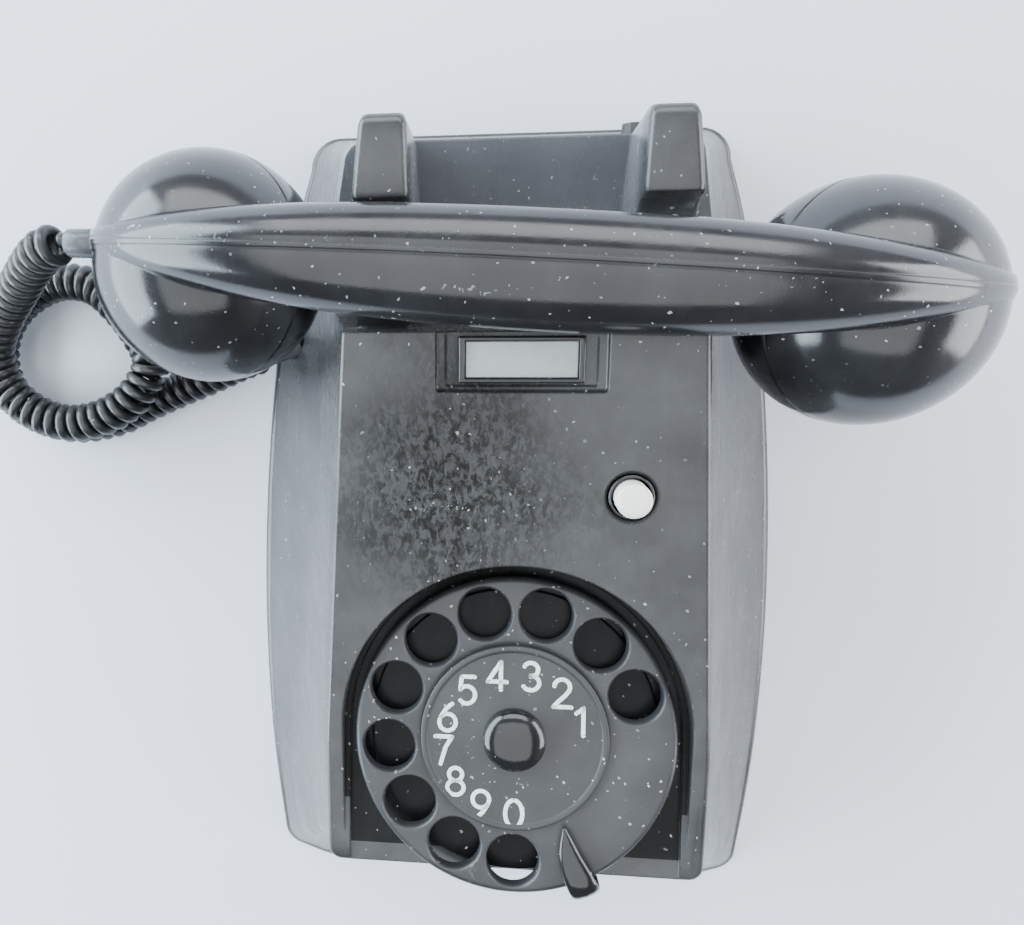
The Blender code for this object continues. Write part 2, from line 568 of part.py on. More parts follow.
# ---- electrics --------------------------------------------------------------------
turned_mm("induction_coil", "copper_wire", [(0, 18), (7, 18), (7, -18), (0, -18)], None, 18,
          Matrix.Translation((-20 * MM, 82 * MM, 11 * MM)) @ Matrix.Rotation(math.pi / 2, 4, "Y"))
add_object("capacitor", box_mesh("capacitor", (34 * MM, 15 * MM, 13 * MM), (20 * MM, 82 * MM, 10 * MM),
                                 0.6 * MM), "steel")
terminals = add_object("terminal_block", box_mesh("terminal_block", (50 * MM, 14 * MM, 8 * MM),
                                                  (0, -82 * MM, 6.2 * MM), 0.4 * MM), "insulation")
for i in range(4):
    name = "terminal_slot_%d" % (i + 1)
    boolean(terminals, cutter(name, box_mesh(name, (8 * MM, 8 * MM, 5 * MM),
                                             ((i - 1.5) * 12 * MM, -82 * MM, 10.2 * MM))))
add_object("line_inlet_grommet", rod_mesh("line_inlet_grommet", LINE_INLET + Vector((0, -3.4 * MM, 0)),
                                          LINE_INLET + Vector((0, 3.4 * MM, 0)), 3.0 * MM, 16), "cord_rubber")
add_object("cord_grommet", rod_mesh("cord_grommet", CORD_INLET - CORD_WAY * 7 * MM,
                                    CORD_INLET + CORD_WAY * 5 * MM, 3.9 * MM, 20), "cord_rubber")

# ---- handset ------------------------------------------------------------------------
handset = empty("handset", HANDSET_CENTRE, (0, 0, HANDSET_TURN))


def handle_section(s):
    """Ring of the handle at s from -1 (left tip) to 1 (right tip)."""
    width = (24.0 - 17.0 * abs(s) ** 2.2) / 2
    crest = 46.4 + 33.6 * max(0.0, 1.0 - abs(s) ** 3.6) ** 0.625
    under = 54.0 - 3.5 * min(1.0, abs(s) / 0.6) ** 3 - 11.0 * max(0.0, abs(s) - 0.6) / 0.4
    shape = [(0.09, 1.0), (0.45, 0.965), (0.80, 0.865), (1.0, 0.69), (0.97, 0.56), (0.79, 0.32),
             (0.50, 0.09), (0.24, 0.0)]
    middle = 2.3 + 1.9 * s * s
    ring = [(HANDLE_HALF * s, middle * MM + width * a * MM, (under + (crest - under) * b) * MM)
            for a, b in shape]
    ring += [(HANDLE_HALF * s, middle * MM - width * a * MM, (under + (crest - under) * b) * MM)
             for a, b in shape[::-1]]
    return ring


handle_steps = 20
stations = [math.sin(math.pi / 2 * (2.0 * i / handle_steps - 1.0)) for i in range(handle_steps + 1)]
shell = add_object("handset_shell", loft("handset_shell", [handle_section(s) for s in stations]),
                   "gloss_bakelite", handset)


def bulb_axes(side):
    """Frame with its origin in the bulb's centre and +Z out through its cap."""
    turn = Matrix.Rotation(math.pi + side * CAP_TILT, 4, "Y")
    return Matrix.Translation((side * BULB_X, 0, BULB_Z)) @ turn


def ball_profile(radius, first, last, steps):
    """Arc of a ball from angle first to last, measured from its top."""
    return [(radius * math.sin(first + (last - first) * i / steps),
             radius * math.cos(first + (last - first) * i / steps)) for i in range(steps + 1)]


for name, side in SIDES:
    bulb = turned("bulb_" + name, None, ball_profile(BULB_R, 0, math.pi, 12), handset, 26,
                  bulb_axes(side), CUTTERS)
    boolean(shell, bulb, "UNION")
for name, side in SIDES:
    room = turned("room_" + name, None,
                  [(0, 6 * MM), (23.8 * MM, 6 * MM)] + ball_profile(24.4 * MM, math.pi / 2, math.pi, 5),
                  handset, 20, bulb_axes(side), CUTTERS)
    boolean(shell, room)
for name, side in SIDES:
    seam = turned("seam_" + name, None, [(0, 40 * MM), (32 * MM, 40 * MM), (32 * MM, CAP_PLANE - GAP / 2),
                                         (0, CAP_PLANE - GAP / 2)], handset, 26, bulb_axes(side), CUTTERS)
    boolean(shell, seam, solver="MANIFOLD")

first = math.acos(CAP_FLAT / BULB_R) + 0.05
last = math.acos((CAP_PLANE + GAP / 2) / BULB_R)
for node, side in (("ear_cap", -1), ("mouth_cap", 1)):
    outer = ball_profile(BULB_R, first, last, 4)
    profile = [(0, CAP_FLAT - 1.2 * MM), (6 * MM, CAP_FLAT - 1.0 * MM), (13 * MM, CAP_FLAT - 0.2 * MM),
               (18.5 * MM, CAP_FLAT)] + outer
    profile += [(24.6 * MM, CAP_PLANE + GAP / 2), (24.3 * MM, 5 * MM),
                (21.8 * MM, 11 * MM), (18.2 * MM, 16 * MM),
                (0, 16 * MM)]
    cap = turned(node, "gloss_bakelite", profile, handset, 26, bulb_axes(side))
    grille = [(0.0, 0.0)] + [(7.0 * MM * math.cos(math.pi / 3 * i), 7.0 * MM * math.sin(math.pi / 3 * i))
                             for i in range(6)]

    def drill(bm):
        for x, y in grille:
            bmesh.ops.create_cone(bm, cap_ends=True, segments=8, radius1=1.3 * MM, radius2=1.3 * MM,
                                  depth=10 * MM, matrix=Matrix.Translation((x, y, 17 * MM)))
    holes = cutter(node + "_grille", mesh_from(node + "_grille", drill), handset)
    holes.matrix_local = bulb_axes(side)
    boolean(cap, holes)
for node, side in (("receiver_capsule", -1), ("transmitter_capsule", 1)):
    turned_mm(node, "steel", [(0, 13.6), (15.0, 13.6), (19.0, 11.0), (19.0, 2.0), (12.0, -4.0), (0, -4.0)],
              handset, 20, bulb_axes(side))

SLEEVE_END = -HANDLE_HALF - 6.4 * MM
SLEEVE_Z = 43.8 * MM
add_object("cord_sleeve", rod_mesh("cord_sleeve", (-HANDLE_HALF - 1.0 * MM, 4.2 * MM, SLEEVE_Z),
                                   (SLEEVE_END, 4.0 * MM, SLEEVE_Z - 1.0 * MM), 3.5 * MM, 20),
           "cord_rubber", handset)

# ---- handset cord -----------------------------------------------------------------------


def smooth_line(points, per_gap):
    """Points of a smooth curve that passes through the given ones."""
    ends = [points[0] * 2 - points[1]] + points + [points[-1] * 2 - points[-2]]
    line = []
    for a, b, c, d in zip(ends, ends[1:], ends[2:], ends[3:]):
        for i in range(per_gap):
            t = i / per_gap
            line.append(((b * 2) + (c - a) * t + (a * 2 - b * 5 + c * 4 - d) * t * t
                         + (b * 3 - a - c * 3 + d) * t ** 3) / 2)
    line.append(points[-1])
    return line


def even_line(line, count):
    """The same line with evenly spaced points."""
    lengths = [0.0]
    for a, b in zip(line, line[1:]):
        lengths.append(lengths[-1] + (b - a).length)
    even, i = [], 0
    for k in range(count):
        want = lengths[-1] * k / (count - 1)
        while i < len(line) - 2 and lengths[i + 1] < want:
            i += 1
        t = (want - lengths[i]) / (lengths[i + 1] - lengths[i])
        even.append(line[i].lerp(line[i + 1], t))
    return even


route = smooth_line([Vector(p) * MM for p in CORD_ROUTE_MM], 12)
tube_points = even_line(route, CORD_POINTS)
curve = bpy.data.curves.new("handset_cord", "CURVE")
curve.dimensions = "3D"
curve.bevel_depth = CORD_R
curve.bevel_resolution = 2
curve.render_resolution_u = 0
curve.use_fill_caps = True
spline = curve.splines.new("POLY")
spline.points.add(len(tube_points) - 1)
for point, place in zip(spline.points, tube_points):
    point.co = (*place, 1.0)
tube = bpy.data.objects.new("cord_curve", curve)
CUTTERS.objects.link(tube)
tube.hide_render = True
tube.display_type = "WIRE"
bpy.context.view_layer.update()
cord_mesh = bpy.data.meshes.new_from_object(tube.evaluated_get(bpy.context.evaluated_depsgraph_get()))
skin = bmesh.new()
skin.from_mesh(cord_mesh)
bmesh.ops.remove_doubles(skin, verts=skin.verts[:], dist=0.01 * MM)
bmesh.ops.recalc_face_normals(skin, faces=skin.faces[:])
skin.to_mesh(cord_mesh)
skin.free()
cord_mesh.name = "handset_cord"
add_object("handset_cord", cord_mesh, "cord_rubber")
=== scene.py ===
import math

import bmesh
import bpy
from mathutils import Matrix, Vector


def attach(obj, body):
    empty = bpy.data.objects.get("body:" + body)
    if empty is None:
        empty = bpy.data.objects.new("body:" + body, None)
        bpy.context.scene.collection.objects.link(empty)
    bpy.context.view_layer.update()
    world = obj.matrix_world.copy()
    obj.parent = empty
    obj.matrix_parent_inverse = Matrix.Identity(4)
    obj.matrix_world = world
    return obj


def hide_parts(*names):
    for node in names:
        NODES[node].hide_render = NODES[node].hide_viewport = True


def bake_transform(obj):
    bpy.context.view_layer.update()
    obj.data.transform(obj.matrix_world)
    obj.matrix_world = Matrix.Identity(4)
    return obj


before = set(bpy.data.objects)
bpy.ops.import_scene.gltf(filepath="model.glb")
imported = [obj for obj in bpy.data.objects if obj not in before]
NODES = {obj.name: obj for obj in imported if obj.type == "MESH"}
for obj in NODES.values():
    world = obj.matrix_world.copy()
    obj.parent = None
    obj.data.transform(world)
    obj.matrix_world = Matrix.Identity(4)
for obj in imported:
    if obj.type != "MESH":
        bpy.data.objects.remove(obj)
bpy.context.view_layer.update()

MM = 0.001

# places on the phone in millimetres and degrees, the same as in the CAD part
FACE_Z = 62.0
DIAL_Y, DIAL_Z, DIAL_TILT = -36.5, 61.3, -9.0
WHEEL_STEP = 360.0 / 13.0
BUTTON_X, BUTTON_Y = 24.4, 22.2
CARD_Y = 52.2
FORK_X = 31.0
# the middle of the worn patch on the face, and the radius of the step that the dial lies in
WORN_X, WORN_Y = -15.0, 22.0
STEP_RADIUS = 41.0
# the rounding of the housing's rim around its face
RIM = 1.4

# ---- camera: above the phone, looking down on its face --------------------------
camera_data = bpy.data.cameras.new("camera")
camera_data.lens = 28.07
camera_data.sensor_width = 36.0
camera_data.shift_x = 0.109
camera_data.clip_start = 0.01
camera = bpy.data.objects.new("camera", camera_data)
bpy.context.scene.collection.objects.link(camera)
camera.location = (-0.00755, 0.06415, 0.23542)
camera.rotation_euler = (math.radians(-11.307), math.radians(6.050), math.radians(-0.553))
bpy.context.scene.camera = camera


# ---- general helpers ------------------------------------------------------------
def link(name, data):
    made = bpy.data.objects.new(name, data)
    bpy.context.scene.collection.objects.link(made)
    return made


def mesh_from(name, build):
    """A mesh from a function that fills a bmesh, with its faces turned outwards."""
    bm = bmesh.new()
    build(bm)
    bmesh.ops.recalc_face_normals(bm, faces=bm.faces[:])
    if bm.calc_volume(signed=True) < 0.0:
        bmesh.ops.reverse_faces(bm, faces=bm.faces[:])
    mesh = bpy.data.meshes.new(name)
    bm.to_mesh(mesh)
    bm.free()
    return mesh


def smooth(mesh, angle=30.0):
    mesh.shade_smooth()
    mesh.set_sharp_from_angle(angle=math.radians(angle))
    return mesh


def loft(name, rings):
    """A closed mesh through rings that have the same number of points."""
    def build(bm):
        rows = [[bm.verts.new(p) for p in ring] for ring in rings]
        count = len(rings[0])
        for low, high in zip(rows, rows[1:]):
            for i in range(count):
                j = (i + 1) % count
                bm.faces.new((low[i], low[j], high[j], high[i]))
        bm.faces.new(rows[0][::-1])
        bm.faces.new(rows[-1])
    return mesh_from(name, build)


def turned_mesh(name, profile, segments=64):
    """A closed turned mesh about Z from (radius, z) points in millimetres, top to bottom."""
    def build(bm):
        rows = []
        for r, z in profile:
            if r < 1e-6:
                rows.append([bm.verts.new((0, 0, z * MM))])
            else:
                rows.append([bm.verts.new((r * MM * math.cos(2 * math.pi * i / segments),
                                           r * MM * math.sin(2 * math.pi * i / segments), z * MM))
                             for i in range(segments)])
        if profile[0][0] > 1e-6 and profile[-1][0] > 1e-6:
            rows.append(rows[0])
        for a, b in zip(rows, rows[1:]):
            for i in range(segments):
                j = (i + 1) % segments
                if len(a) == 1 and len(b) > 1:
                    bm.faces.new((a[0], b[i], b[j]))
                elif len(b) == 1 and len(a) > 1:
                    bm.faces.new((a[i], b[0], a[j]))
                elif len(a) > 1:
                    bm.faces.new((a[i], b[i], b[j], a[j]))
    return mesh_from(name, build)


def box_mesh(name, size, centre, chamfer=0.0, segments=2):
    """A box in millimetres, its edges rounded by the chamfer."""
    def build(bm):
        bmesh.ops.create_cube(bm, size=1.0)
        bmesh.ops.scale(bm, vec=[s * MM for s in size], verts=bm.verts[:])
        bmesh.ops.translate(bm, vec=[c * MM for c in centre], verts=bm.verts[:])
        if chamfer:
            bmesh.ops.bevel(bm, geom=bm.edges[:], offset=chamfer * MM, segments=segments, profile=0.5,
                            affect="EDGES")
    return mesh_from(name, build)


def rod_mesh(name, start, end, radius, segments=32, end_radius=None):
    """A round rod or cone between two points in millimetres."""
    start, end = Vector(start) * MM, Vector(end) * MM
    along = end - start

    def build(bm):
        top = radius if end_radius is None else end_radius
        bmesh.ops.create_cone(bm, cap_ends=True, segments=segments, radius1=radius * MM, radius2=top * MM,
                              depth=along.length)
        turn = Vector((0, 0, 1)).rotation_difference(along).to_matrix().to_4x4()
        bm.transform(Matrix.Translation((start + end) / 2) @ turn)
    return mesh_from(name, build)


def combine(mesh, tools):
    """Cut or join tools, each (mesh, matrix, operation, solver), and return the finished mesh."""
    body = link("combine_body", mesh)
    helpers = []
    for tool_mesh, matrix, operation, solver in tools:
        helper = link("combine_tool", tool_mesh)
        if matrix is not None:
            helper.matrix_world = matrix
        step = body.modifiers.new("step", "BOOLEAN")
        step.operation = operation
        step.solver = solver
        step.object = helper
        helpers.append(helper)
    bpy.context.view_layer.update()
    made = bpy.data.meshes.new_from_object(body.evaluated_get(bpy.context.evaluated_depsgraph_get()))
    made.materials.clear()
    for helper in helpers + [body]:
        bpy.data.objects.remove(helper, do_unlink=True)
    return made


def cut(mesh, matrix=None, solver="EXACT"):
    return (mesh, matrix, "DIFFERENCE", solver)


def join(mesh, matrix=None, solver="EXACT"):
    return (mesh, matrix, "UNION", solver)


# ---- materials ------------------------------------------------------------------
def rgba(colour):
    """A colour socket as it is, or a plain colour with full alpha."""
    return colour if isinstance(colour, bpy.types.NodeSocket) else (*colour, 1.0)


class Shader:
    """A small wrapper that builds one node material."""

    def __init__(self, name):
        self.material = bpy.data.materials.new(name)
        self.material.use_nodes = True
        self.tree = self.material.node_tree
        self.principled = self.tree.nodes["Principled BSDF"]
        self.place = self.add("ShaderNodeTexCoord").outputs["Object"]

    def add(self, kind, **inputs):
        node = self.tree.nodes.new(kind)
        for key, value in inputs.items():
            self.put(node.inputs[key.replace("_", " ")], value)
        return node

    def put(self, socket, value):
        if isinstance(value, bpy.types.NodeSocket):
            self.tree.links.new(value, socket)
        else:
            socket.default_value = value

    def mapped(self, scale=(1, 1, 1), turn=0.0):
        """The place stretched, and turned about Z by an angle in radians."""
        node = self.add("ShaderNodeMapping", Vector=self.place, Scale=scale, Rotation=(0.0, 0.0, turn))
        return node.outputs["Vector"]

    def noise(self, scale, detail=3.0, roughness=0.5, distortion=0.0, vector=None):
        node = self.add("ShaderNodeTexNoise", Vector=vector or self.place, Scale=scale, Detail=detail,
                        Roughness=roughness, Distortion=distortion)
        return node.outputs["Fac"]

    def ramp(self, value, low, high, out_low=0.0, out_high=1.0):
        node = self.add("ShaderNodeMapRange", Value=value)
        node.inputs["From Min"].default_value = low
        node.inputs["From Max"].default_value = high
        self.put(node.inputs["To Min"], out_low)
        self.put(node.inputs["To Max"], out_high)
        node.clamp = True
        return node.outputs["Result"]

    def math(self, operation, a, b=0.0):
        node = self.tree.nodes.new("ShaderNodeMath")
        node.operation = operation
        self.put(node.inputs[0], a)
        self.put(node.inputs[1], b)
        return node.outputs[0]

    def fold(self, operation, first, *others):
        """One operation over any number of values, from left to right."""
        for other in others:
            first = self.math(operation, first, other)
        return first

    def mix(self, factor, a, b):
        node = self.tree.nodes.new("ShaderNodeMix")
        node.data_type = "RGBA"
        self.put(node.inputs[0], factor)
        self.put(node.inputs[6], rgba(a))
        self.put(node.inputs[7], rgba(b))
        return node.outputs[2]

    def wobbled(self, vector, scale, amount):
        """The same place, pushed about a little by noise."""
        cloud = self.add("ShaderNodeTexNoise", Vector=self.place, Scale=scale, Detail=2.0)
        push = self.tree.nodes.new("ShaderNodeVectorMath")
        push.operation = "SCALE"
        self.put(push.inputs[0], cloud.outputs["Color"])
        self.put(push.inputs["Scale"], amount)
        total = self.tree.nodes.new("ShaderNodeVectorMath")
        self.put(total.inputs[0], vector)
        self.put(total.inputs[1], push.outputs[0])
        return total.outputs[0]

    def specks(self, scale, size, share, stretch=(1, 1, 1), turn=0.0, bend=0.0012):
        """Small ragged spots of uneven size: 1 inside a speck."""
        place = self.wobbled(self.mapped(stretch, turn), 900.0, bend)
        node = self.add("ShaderNodeTexVoronoi", Vector=place, Scale=scale)
        chosen = self.add("ShaderNodeSeparateColor", Color=node.outputs["Color"])
        reach = self.math("MULTIPLY", self.math("ADD", chosen.outputs["Green"], 0.25), size)
        near = self.math("LESS_THAN", node.outputs["Distance"], reach)
        some = self.math("LESS_THAN", chosen.outputs["Red"], share)
        return self.math("MULTIPLY", near, some)

    def surface(self, colour, roughness, metallic=0.0, bump=None, bump_height=0.0001, round_edges=0.0,
                **more):
        """Set the main shader, with relief and softened edges if asked, and return the material."""
        shader = self.principled
        self.put(shader.inputs["Base Color"], rgba(colour))
        self.put(shader.inputs["Roughness"], roughness)
        self.put(shader.inputs["Metallic"], metallic)
        for key, value in more.items():
            self.put(shader.inputs[key.replace("_", " ")], value)
        normal = None
        if round_edges:
            edge = self.add("ShaderNodeBevel", Radius=round_edges)
            edge.samples = 6
            normal = edge.outputs["Normal"]
        if bump is not None:
            relief = self.add("ShaderNodeBump", Height=bump, Distance=bump_height, Strength=1.0)
            if normal is not None:
                self.put(relief.inputs["Normal"], normal)
            normal = relief.outputs["Normal"]
        if normal is not None:
            self.put(shader.inputs["Normal"], normal)
        return self.material


# hair scratches in three directions: scale, width, share, stretch, turn
HAIRS = (
    (150.0, 0.075, 1.3, (1.0, 0.10, 1.0), 0.7),
    (160.0, 0.070, 1.2, (0.09, 1.0, 1.0), 0.25),
    (140.0, 0.065, 0.8, (0.12, 1.0, 1.0), -0.9),
)


def worn_masks(s, place):
    """The patch left of the button where the polish is gone: its soft extent, and the mottling in it."""
    across = s.math("ABSOLUTE", s.math("SUBTRACT", place.outputs["X"], WORN_X * MM))
    along = s.math("ABSOLUTE", s.math("SUBTRACT", place.outputs["Y"], WORN_Y * MM))
    reach = s.fold("ADD", s.math("MULTIPLY", across, 30.0), s.math("MULTIPLY", along, 24.0),
                   s.math("MULTIPLY", s.noise(60.0, 3.0), 0.9))
    patch = s.ramp(reach, 0.75, 1.75, 1.0, 0.0)
    blotch = s.noise(720.0, 5.0, 0.70, 0.5, s.mapped((1.0, 0.6, 1.0), 0.35))
    return patch, s.math("MULTIPLY", patch, s.ramp(blotch, 0.42, 0.58))


def dial_step_shade_mask(s, place):
    """Where painted shade goes: the wall of the step around the dial, fading towards its lower corners."""
    x, z = place.outputs["X"], place.outputs["Z"]
    y = s.math("SUBTRACT", place.outputs["Y"], DIAL_Y * MM)
    upper = s.math("MAXIMUM", y, 0.0)
    from_dial = s.math("SQRT", s.math("ADD", s.math("MULTIPLY", x, x), s.math("MULTIPLY", upper, upper)))
    return s.fold("MULTIPLY", s.math("LESS_THAN", from_dial, (STEP_RADIUS + 0.4) * MM),
                  s.math("LESS_THAN", z, (FACE_Z - RIM) * MM), s.math("GREATER_THAN", z, 40.0 * MM),
                  s.ramp(y, -60.0 * MM, -30.0 * MM, 0.30, 1.0))


def channel_dust_and_light_mask(s, place, cloud):
    """A lighter grey in the cradle channel, partly dust and partly painted light on the floor that slopes up,
    lighter towards its back.
    """
    y, z = place.outputs["Y"], place.outputs["Z"]
    return s.fold("MULTIPLY", s.ramp(z, 28.0 * MM, 33.0 * MM), s.ramp(z, 50.0 * MM, 58.0 * MM, 1.0, 0.0),
                  s.ramp(y, 66.0 * MM, 100.0 * MM, 0.45, 1.0), s.math("GREATER_THAN", y, 65.5 * MM),
                  s.math("LESS_THAN", s.math("ABSOLUTE", place.outputs["X"]), 49.0 * MM),
                  s.ramp(cloud, 0.30, 0.70, 0.75, 0.95))


def moulding(name, base=(0.016, 0.0165, 0.018), dust=(0.20, 0.205, 0.21), dusty=0.10, rough=(0.26, 0.40),
             wear_and_painted_light=False, speck_share=0.22, round_edges=0.7 * MM, sheen=0.0):
    """Old black moulding: satin, with a dust veil, specks, hair scratches and, for the housing, its wear,
    painted shade on the dial's step and dust with painted light in the cradle channel.
    """
    s = Shader(name)
    cloud = s.noise(55.0, 5.0, 0.6)
    grain = s.noise(2600.0, 2.0, 0.6)
    veil = s.math("MULTIPLY", s.ramp(cloud, 0.38, 0.72), dusty)
    veil = s.math("ADD", veil, s.math("MULTIPLY", s.ramp(grain, 0.60, 0.78), dusty * 0.6))
    colour = s.mix(veil, base, dust)
    wiped = s.noise(90.0, 4.0, 0.65, 1.5, s.mapped((1.0, 0.35, 1.0), 0.5))
    roughness = s.ramp(wiped, 0.35, 0.70, rough[0], rough[1])
    height = s.math("MULTIPLY", grain, 0.25)
    shine = 0.5
    if wear_and_painted_light:
        place = s.add("ShaderNodeSeparateXYZ", Vector=s.place)
        patch, mottled = worn_masks(s, place)
        colour = s.mix(s.math("MULTIPLY", patch, 0.22), colour, (0.020, 0.017, 0.015))
        colour = s.mix(s.math("MULTIPLY", mottled, 0.85), colour, (0.006, 0.0055, 0.005))
        shine = s.math("SUBTRACT", shine, s.math("ADD", s.math("MULTIPLY", mottled, 0.26),
                                                 s.math("MULTIPLY", patch, 0.15)))
        roughness = s.math("ADD", roughness, s.math("MULTIPLY", mottled, -0.06))
        height = s.math("SUBTRACT", height, mottled)
        # painted shade: the step wall around the dial turns near black and loses most of its reflection,
        # standing in for the shadow between the wheel and the rim
        step = dial_step_shade_mask(s, place)
        painted_step_shade = s.math("MULTIPLY", step, s.ramp(cloud, 0.45, 0.75, 0.97, 0.75))
        colour = s.mix(painted_step_shade, colour, (0.004, 0.004, 0.004))
        shine = s.math("MULTIPLY", shine, s.ramp(step, 0.0, 1.0, 1.0, 0.22))
        # partly dust and partly painted light: the channel floor is lightened, more so towards the back where
        # it slopes up to the rim
        colour = s.mix(channel_dust_and_light_mask(s, place, cloud), colour, (0.155, 0.162, 0.178))
    gathered = s.ramp(s.noise(38.0, 3.0, 0.6), 0.40, 0.62, 0.15, 1.0)
    spots = s.specks(760.0, 0.20, speck_share * 0.8)
    flakes = s.specks(210.0, 0.11, speck_share * 0.16, bend=0.004)
    hairs = s.fold("MAXIMUM", *(s.specks(scale, size, speck_share * share, stretch, turn, 0.003)
                                for scale, size, share, stretch, turn in HAIRS))
    marks = s.fold("MAXIMUM", spots, s.math("MULTIPLY", hairs, 0.60), s.math("MULTIPLY", flakes, 0.45))
    marks = s.math("MULTIPLY", marks, gathered)
    colour = s.mix(s.math("MULTIPLY", marks, 0.75), colour, (0.55, 0.56, 0.57))
    roughness = s.math("ADD", roughness, s.math("MULTIPLY", marks, 0.25))
    return s.surface(colour, roughness, 0.0, height, 0.06 * MM, round_edges, IOR=1.6, Sheen_Weight=sheen,
                     Sheen_Roughness=0.45, Specular_IOR_Level=shine)


def plain_metal(name, base, dark, rough):
    """Brushed metal with darker stains."""
    s = Shader(name)
    brushed = s.noise(220.0, 4.0, 0.6, 0.0, s.mapped((1.0, 12.0, 1.0)))
    stain = s.ramp(s.noise(70.0, 4.0, 0.6), 0.45, 0.75)
    return s.surface(s.mix(stain, base, dark), s.ramp(brushed, 0.3, 0.7, rough, rough + 0.2), 1.0,
                     brushed, 0.00004, 0.25 * MM)


def plain_solid(name, base, second, rough, scale=300.0):
    """A plain material that varies between two near colours."""
    s = Shader(name)
    cloud = s.ramp(s.noise(scale, 4.0, 0.6), 0.35, 0.7)
    return s.surface(s.mix(cloud, base, second), s.ramp(cloud, 0.0, 1.0, rough, rough + 0.15), 0.0,
                     cloud, 0.00005, 0.3 * MM)


HOUSING_LOOK = moulding("housing_look", wear_and_painted_light=True, dusty=0.15, rough=(0.22, 0.34), sheen=0.06)
GLOSS_LOOK = moulding("gloss_look", base=(0.008, 0.008, 0.009), dusty=0.02, rough=(0.07, 0.15),
                      speck_share=0.16, round_edges=0.5 * MM)
HANDLE_LOOK = moulding("handle_look", base=(0.011, 0.011, 0.0125), dusty=0.06, rough=(0.10, 0.22),
                       speck_share=0.30, round_edges=0.5 * MM)
WHEEL_LOOK = moulding("wheel_look", base=(0.018, 0.0185, 0.020), dusty=0.10, rough=(0.34, 0.48),
                      speck_share=0.35, round_edges=0.3 * MM)
# painted shade: a blacker moulding than the others, with its reflection turned down, so the plate under the
# finger holes and the dial case stay dark
DARK_SHADE_LOOK = moulding("dark_shade_look", base=(0.004, 0.004, 0.0045), dusty=0.01, rough=(0.25, 0.45),
                     speck_share=0.10, round_edges=0.3 * MM)
DARK_SHADE_LOOK.node_tree.nodes["Principled BSDF"].inputs["Specular IOR Level"].default_value = 0.12
CORD_LOOK = moulding("cord_look", base=(0.016, 0.0165, 0.018), dusty=0.06, rough=(0.28, 0.40),
                     speck_share=0.10, round_edges=0.0)
SLEEVE_LOOK = plain_solid("sleeve_look", (0.10, 0.115, 0.125), (0.05, 0.058, 0.065), 0.20)
BUTTON_LOOK = plain_solid("button_look", (0.93, 0.92, 0.84), (0.88, 0.87, 0.78), 0.22, 120.0)
CARD_LOOK = plain_solid("card_look", (0.31, 0.32, 0.32), (0.20, 0.205, 0.21), 0.45, 140.0)
DIGIT_LOOK = plain_solid("digit_look", (0.80, 0.86, 0.84), (0.64, 0.70, 0.69), 0.40, 500.0)
STEEL_LOOK = plain_metal("steel_look", (0.52, 0.53, 0.55), (0.30, 0.30, 0.31), 0.32)
BRASS_LOOK = plain_metal("brass_look", (0.70, 0.52, 0.24), (0.40, 0.28, 0.12), 0.28)
COPPER_LOOK = plain_metal("copper_look", (0.60, 0.28, 0.14), (0.32, 0.14, 0.07), 0.38)
BOARD_LOOK = plain_solid("board_look", (0.36, 0.20, 0.09), (0.22, 0.12, 0.05), 0.55)
RUBBER_LOOK = plain_solid("rubber_look", (0.030, 0.031, 0.033), (0.055, 0.056, 0.060), 0.45)


def finish_piece(name, mesh, look, body, replaced=(), angle=30.0, matrix=None):
    """Link a mesh as a shown piece that rides a body and stands for CAD nodes."""
    smooth(mesh, angle)
    mesh.materials.clear()
    mesh.materials.append(look)
    made = link(name, mesh)
    if matrix is not None:
        made.matrix_world = matrix
    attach(made, body)
    if replaced:
        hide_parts(*replaced)
    return made


# ---- the curly cord -------------------------------------------------------------
CORD_OUTER = 11.0
WIRE = 2.9
COIL_PITCH = 3.55
POINTS_PER_TURN = 22
# from the handset sleeve, round the loop, to the hole in the left flank
CORD_ROUTE = (
    (-110.4, 79.4, 43.2), (-117.4, 78.0, 40.2), (-125.0, 74.0, 34.6), (-133.0, 68.2, 28.4),
    (-140.6, 61.4, 23.6), (-146.4, 52.6, 20.0), (-146.0, 43.0, 18.0), (-139.4, 35.4, 17.5),
    (-128.6, 31.2, 17.3), (-117.4, 32.8, 17.2), (-107.4, 39.0, 17.0), (-102.2, 48.2, 15.8),
    (-106.6, 56.6, 13.0), (-113.6, 64.0, 10.0), (-122.0, 70.0, 7.6), (-134.0, 71.0, 5.9),
    (-146.0, 65.0, 5.7), (-153.0, 55.0, 5.7), (-153.4, 43.0, 5.7), (-146.5, 33.4, 5.7),
    (-133.0, 28.8, 5.7), (-119.0, 30.6, 5.7), (-107.4, 35.8, 5.7), (-96.5, 40.4, 5.7),
    (-87.0, 44.2, 6.2), (-79.0, 47.6, 7.2), (-70.6, 50.6, 8.6),
)


def smooth_line(points, per_gap):
    """A smooth curve through the points."""
    ends = [points[0] * 2 - points[1]] + points + [points[-1] * 2 - points[-2]]
    line = []
    for a, b, c, d in zip(ends, ends[1:], ends[2:], ends[3:]):
        for i in range(per_gap):
            t = i / per_gap
            line.append(((b * 2) + (c - a) * t + (a * 2 - b * 5 + c * 4 - d) * t * t
                         + (b * 3 - a - c * 3 + d) * t ** 3) / 2)
    line.append(points[-1])
    return line


def even_line(line, count):
    """The same line as evenly spaced points, and its length."""
    lengths = [0.0]
    for a, b in zip(line, line[1:]):
        lengths.append(lengths[-1] + (b - a).length)
    even, i = [], 0
    for k in range(count):
        want = lengths[-1] * k / (count - 1)
        while i < len(line) - 2 and lengths[i + 1] < want:
            i += 1
        t = (want - lengths[i]) / max(1e-12, lengths[i + 1] - lengths[i])
        even.append(line[i].lerp(line[i + 1], t))
    return even, lengths[-1]


